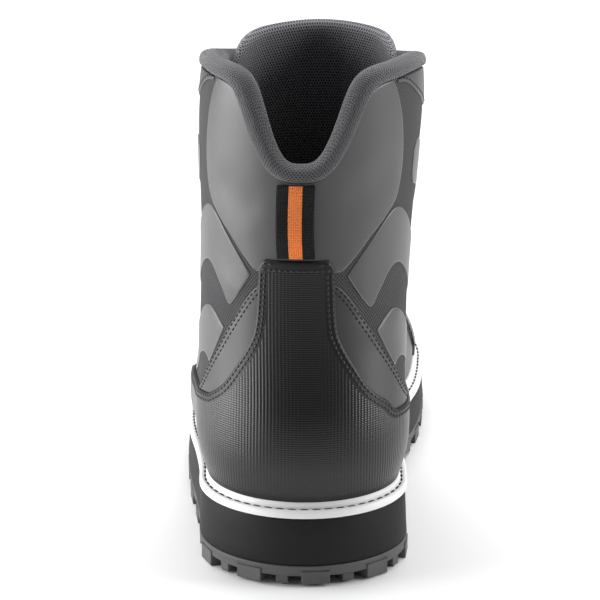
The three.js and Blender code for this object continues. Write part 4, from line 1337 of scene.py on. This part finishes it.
def welt():
    turns = np.linspace(0, math.tau, 280, endpoint=False)
    turns = turns - 0.06 * np.sin(2 * turns)

    def on(reach, drop=0.0):
        return foot_ring(turns, reach, lambda y: welt_top(y) + drop)

    def low(reach, lift=0.0):
        return foot_ring(turns, reach, lambda y: midsole_top(y) + GAP + lift)

    rows = row_at(turns, level(turns) + BEAD_HEIGHT)
    top_in, top_out = at(turns, rows, 0.5), at(turns, rows, 0.3 + BEAD_WIDTH * 0.62)
    up = np.array([0, 0, 1.0])
    profile = [
        low(-WALL - 0.2),
        low(WELT_REACH - 0.4),
        low(WELT_REACH, 0.4),
        on(WELT_REACH, -1.2),
        on(WELT_REACH - 0.25, -0.45),
        on(WELT_REACH - 0.9),
        on(WELT_GROOVE + 0.9, 0.05),
        on(WELT_GROOVE + 0.45, -0.15),
        on(WELT_GROOVE, -0.5),
        on(WELT_GROOVE - 0.45, -0.2),
        mix(on(GAP + BEAD_WIDTH), top_out, 0.45) + up * 0.75,
        top_out - up * 0.1,
        (top_in + top_out) / 2 + up * 0.3,
        top_in,
        on(0.6),
        on(-WALL - 0.2),
    ]
    make("welt_band", loft(np.stack(profile, 1), closed=True), WELT, ["welt"])


def welt_stitches():
    path = foot_ring(np.linspace(0, math.tau, 900), WELT_GROOVE, lambda y: welt_top(y) - 0.2)
    rows = stitch_row(path, np.broadcast_to([0, 0, 1.0], path.shape), 3.6, 1.5)
    stitches("welt_thread", rows, width=0.8)


def weld(points, faces, uv):
    """Joins points that lie in one place, and leaves out faces that have closed up."""
    near, first, index = np.unique(np.round(points, 4), axis=0, return_index=True, return_inverse=True)
    index = index.ravel()
    kept = []
    for face in faces:
        corners = [int(index[i]) for i in face]
        corners = [c for c, following in zip(corners, corners[1:] + corners[:1]) if c != following]
        if len(set(corners)) > 2:
            kept.append(tuple(corners))
    return near, kept, uv[first]


def slab(name, edge, material, replaces):
    """A plate of the sole: rungs across it, with the same edge, of reaches and heights, at both ends."""
    turns = np.linspace(0.0, math.pi, 150)
    inner, outer = (np.stack([foot_ring(side * turns, *rim) for rim in edge], 1) for _, side in SIDES)
    for end in (0, -1):
        inner[end] = outer[end] = (inner[end] + outer[end]) / 2
    share = np.linspace(0, 1, 9)[None, 1:-1, None]
    bottom, top = mix(outer[:, :1], inner[:, :1], share), mix(inner[:, -1:], outer[:, -1:], share)
    for rung, (_, height) in ((bottom, edge[0]), (top, edge[-1])):
        rung[..., 2] = height(rung[..., 1])
    points, faces, uv = loft(np.concatenate([bottom, inner, top, outer[:, ::-1]], 1))
    make(name, weld(points, faces[:-2], uv), material, replaces)


def midsole():
    flare = MIDSOLE_FLARE
    edge = []
    for more, up in ((flare - 0.5, 0.0), (flare, 0.035), (0.75 * flare, 0.25), (0.4 * flare, 0.6),
    (0.0, 0.96),
                     (-0.5, 1.0)):
        height = lambda y, up=up: mix(outsole_top(y) + GAP, midsole_top(y), up)
        edge.append((WELT_REACH - MIDSOLE_INSET + more, height))
    slab("midsole_foam", edge, FOAM, ["midsole"])


def insole():
    inset = -WALL - 2 * GAP - 0.4
    edge = [(inset, lambda y: midsole_top(y) + GAP)]
    for less, drop in ((0.0, 1.0), (0.4, 0.3), (1.4, 0.0)):
        edge.append((inset - less, lambda y, drop=drop: welt_top(y) + INSOLE_RISE - drop))
    slab("insole_pad", edge, LINING, ["insole"])


LUG_TAPER = 0.94
LUG_EDGE = 0.35  # rise of its rounded edge
STUDS_FROM, STUDS_OVER = 0.07, 0.86  # shares of the foot's length


def lug(x, y, along, across, turn):
    """A lug with rounded edges, from the tread up into the sole."""
    points, faces = rounded_box(np.array([across / 2, along / 2, 1.0]), 0.3)
    rise = (points[:, 2] + 1) / 2
    points[:, :2] *= np.where(points[:, 2] < 0.75, LUG_TAPER, 1.0)[:, None]
    c, s = math.cos(turn), math.sin(turn)
    flat = points[:, :2] @ np.array([(c, s), (-s, c)]) + (x, y)
    edge = np.where(rise < 0.3, LUG_EDGE * (rise > 0.001), 0)
    z = np.where(rise > 0.5, outsole_top(flat[:, 1]) - OUTSOLE_BASE / 2, tread(flat[:, 1]) + edge)
    return np.concatenate([flat, z[:, None]], -1), faces, None


def edge_lugs():
    """Wide and narrow lugs by turns round the edge, with equal gaps along it."""
    reach = WELT_REACH - MIDSOLE_INSET + MIDSOLE_FLARE + LUG_PROUD - LUG_DEPTH / 2
    path = outline(np.linspace(0, math.tau, 721), reach)
    gone = running(path)
    pitch = gone[-1] / round(gone[-1] / (LUG_WIDTH + NUB_WIDTH + 2 * LUG_GAP))
    places = []
    following = LUG_WIDTH / 2
    for a, b, run in zip(path, path[1:], gone[1:]):
        if run < following or following > gone[-1] - LUG_GAP:
            continue
        size = (NUB_WIDTH, 0.8 * LUG_DEPTH) if len(places) % 2 else (LUG_WIDTH, LUG_DEPTH)
        places.append((*b, *size, math.atan2(*(b - a)[::-1]) - math.pi / 2))
        following += pitch / 2
    return places


def studs():
    """Rows of square studs across the middle of the tread, every other one turned."""
    places = []
    for i in range(int(STUDS_OVER * FOOT_LENGTH / STUD_PITCH) + 1):
        y = STUDS_FROM * FOOT_LENGTH + i * STUD_PITCH
        turn = math.acos(1 - 2 * y / FOOT_LENGTH)
        inset = LUG_DEPTH + STUD_SIZE * 0.35
        inner, outer = float(outline(turn, 0.0)[0]) - inset, float(outline(-turn, 0.0)[0]) + inset
        count = int((inner - outer) // STUD_PITCH)
        for k in range(count + 1):
            x = mix(outer, inner, k / count) if count else (inner + outer) / 2
            places.append((x, y, STUD_SIZE, STUD_SIZE, math.pi / 4 if (i + k) % 2 else 0.0))
    return places


def outsole():
    reach = WELT_REACH - MIDSOLE_INSET + MIDSOLE_FLARE
    profile = [(-0.5, OUTSOLE_BASE), (0.0, OUTSOLE_BASE - 0.5), (0.0, 1.6), (0.15, 1.3), (0.15, 0.4),
               (-0.2, 0.0)]
    edge = [(reach + more, lambda y, drop=drop: outsole_top(y) - drop) for more, drop in profile]
    slab("outsole_base", edge, RUBBER, ["outsole"])
    lugs = joined(lug(*place) for place in edge_lugs() + studs())
    make("outsole_lugs", lugs, RUBBER, sharp=30)


# The scene

FLOOR = 12.0  # half its size, in metres
WORLD_LIGHT = 0.16
# name, place, what it points at, size, power, spread
LIGHTS = [
    ("left", (-0.8, -0.14, 0.27), (0, 0, 0.1), (0.8, 0.5), 9, 180),
    ("right", (0.9, -0.05, 0.42), (0.03, 0, 0.14), (0.5, 0.5), 2.8, 120),
    ("top", (0.0, 0.8, 1.9), (0, 0.2, 0), (2.2, 2.2), 64, 180),
]


def placed(name, data, place, turn):
    thing = bpy.data.objects.new(name, data)
    thing.location = place
    thing.rotation_euler = turn
    bpy.context.scene.collection.objects.link(thing)
    return thing


def studio():
    floor = bpy.data.meshes.new("floor")
    corners = [(-FLOOR, -FLOOR, 0), (FLOOR, -FLOOR, 0), (FLOOR, FLOOR, 0), (-FLOOR, FLOOR, 0)]
    floor.from_pydata(corners, [], [(0, 1, 2, 3)])
    floor.materials.append(plain("floor", grey(0.86), 0.9))
    placed("floor", floor, (0, 0, 0), (0, 0, 0))
    world = bpy.data.worlds.new("studio")
    bpy.context.scene.world = world
    world.use_nodes = True
    background = world.node_tree.nodes["Background"]
    background.inputs[0].default_value = (1, 1, 1, 1)
    background.inputs[1].default_value = WORLD_LIGHT
    for name, place, target, size, power, spread_angle in LIGHTS:
        light = bpy.data.lights.new(name, "AREA")
        light.shape = "RECTANGLE"
        light.size, light.size_y = size
        light.energy = power
        light.spread = math.radians(spread_angle)
        placed(name, light, place, (Vector(target) - Vector(place)).to_track_quat("-Z", "Y").to_euler())


def camera():
    """The photo's camera: behind the boot and above it, looking slightly down."""
    azimuth, tilt = math.radians(3.93), math.radians(16.06)
    distance, height = 1.1248, 0.4362
    heel = Vector(((SHIFT[0] - 1.7) * MM, (33.0 + SHIFT[1]) * MM, 0.0))
    forward = Vector((-math.sin(azimuth), math.cos(azimuth), 0.0))
    lens = bpy.data.cameras.new("camera")
    lens.sensor_width = 36.0
    lens.lens = 168.5
    lens.clip_end = 60
    place = heel - forward * distance + Vector((0, 0, height))
    scene = bpy.context.scene
    scene.camera = placed("camera", lens, place, (math.radians(90) - tilt, 0, azimuth))
    scene.view_settings.view_transform = "Standard"


for build in (shell, shield, side_films, vamp, quarters, ankle_panels, counter, toe_cap, eyestays,
              collar, tongue, pull_loop, eyelets, hooks, lace, welt, welt_stitches, midsole, insole,
              outsole, sewing, studio, camera):
    build()
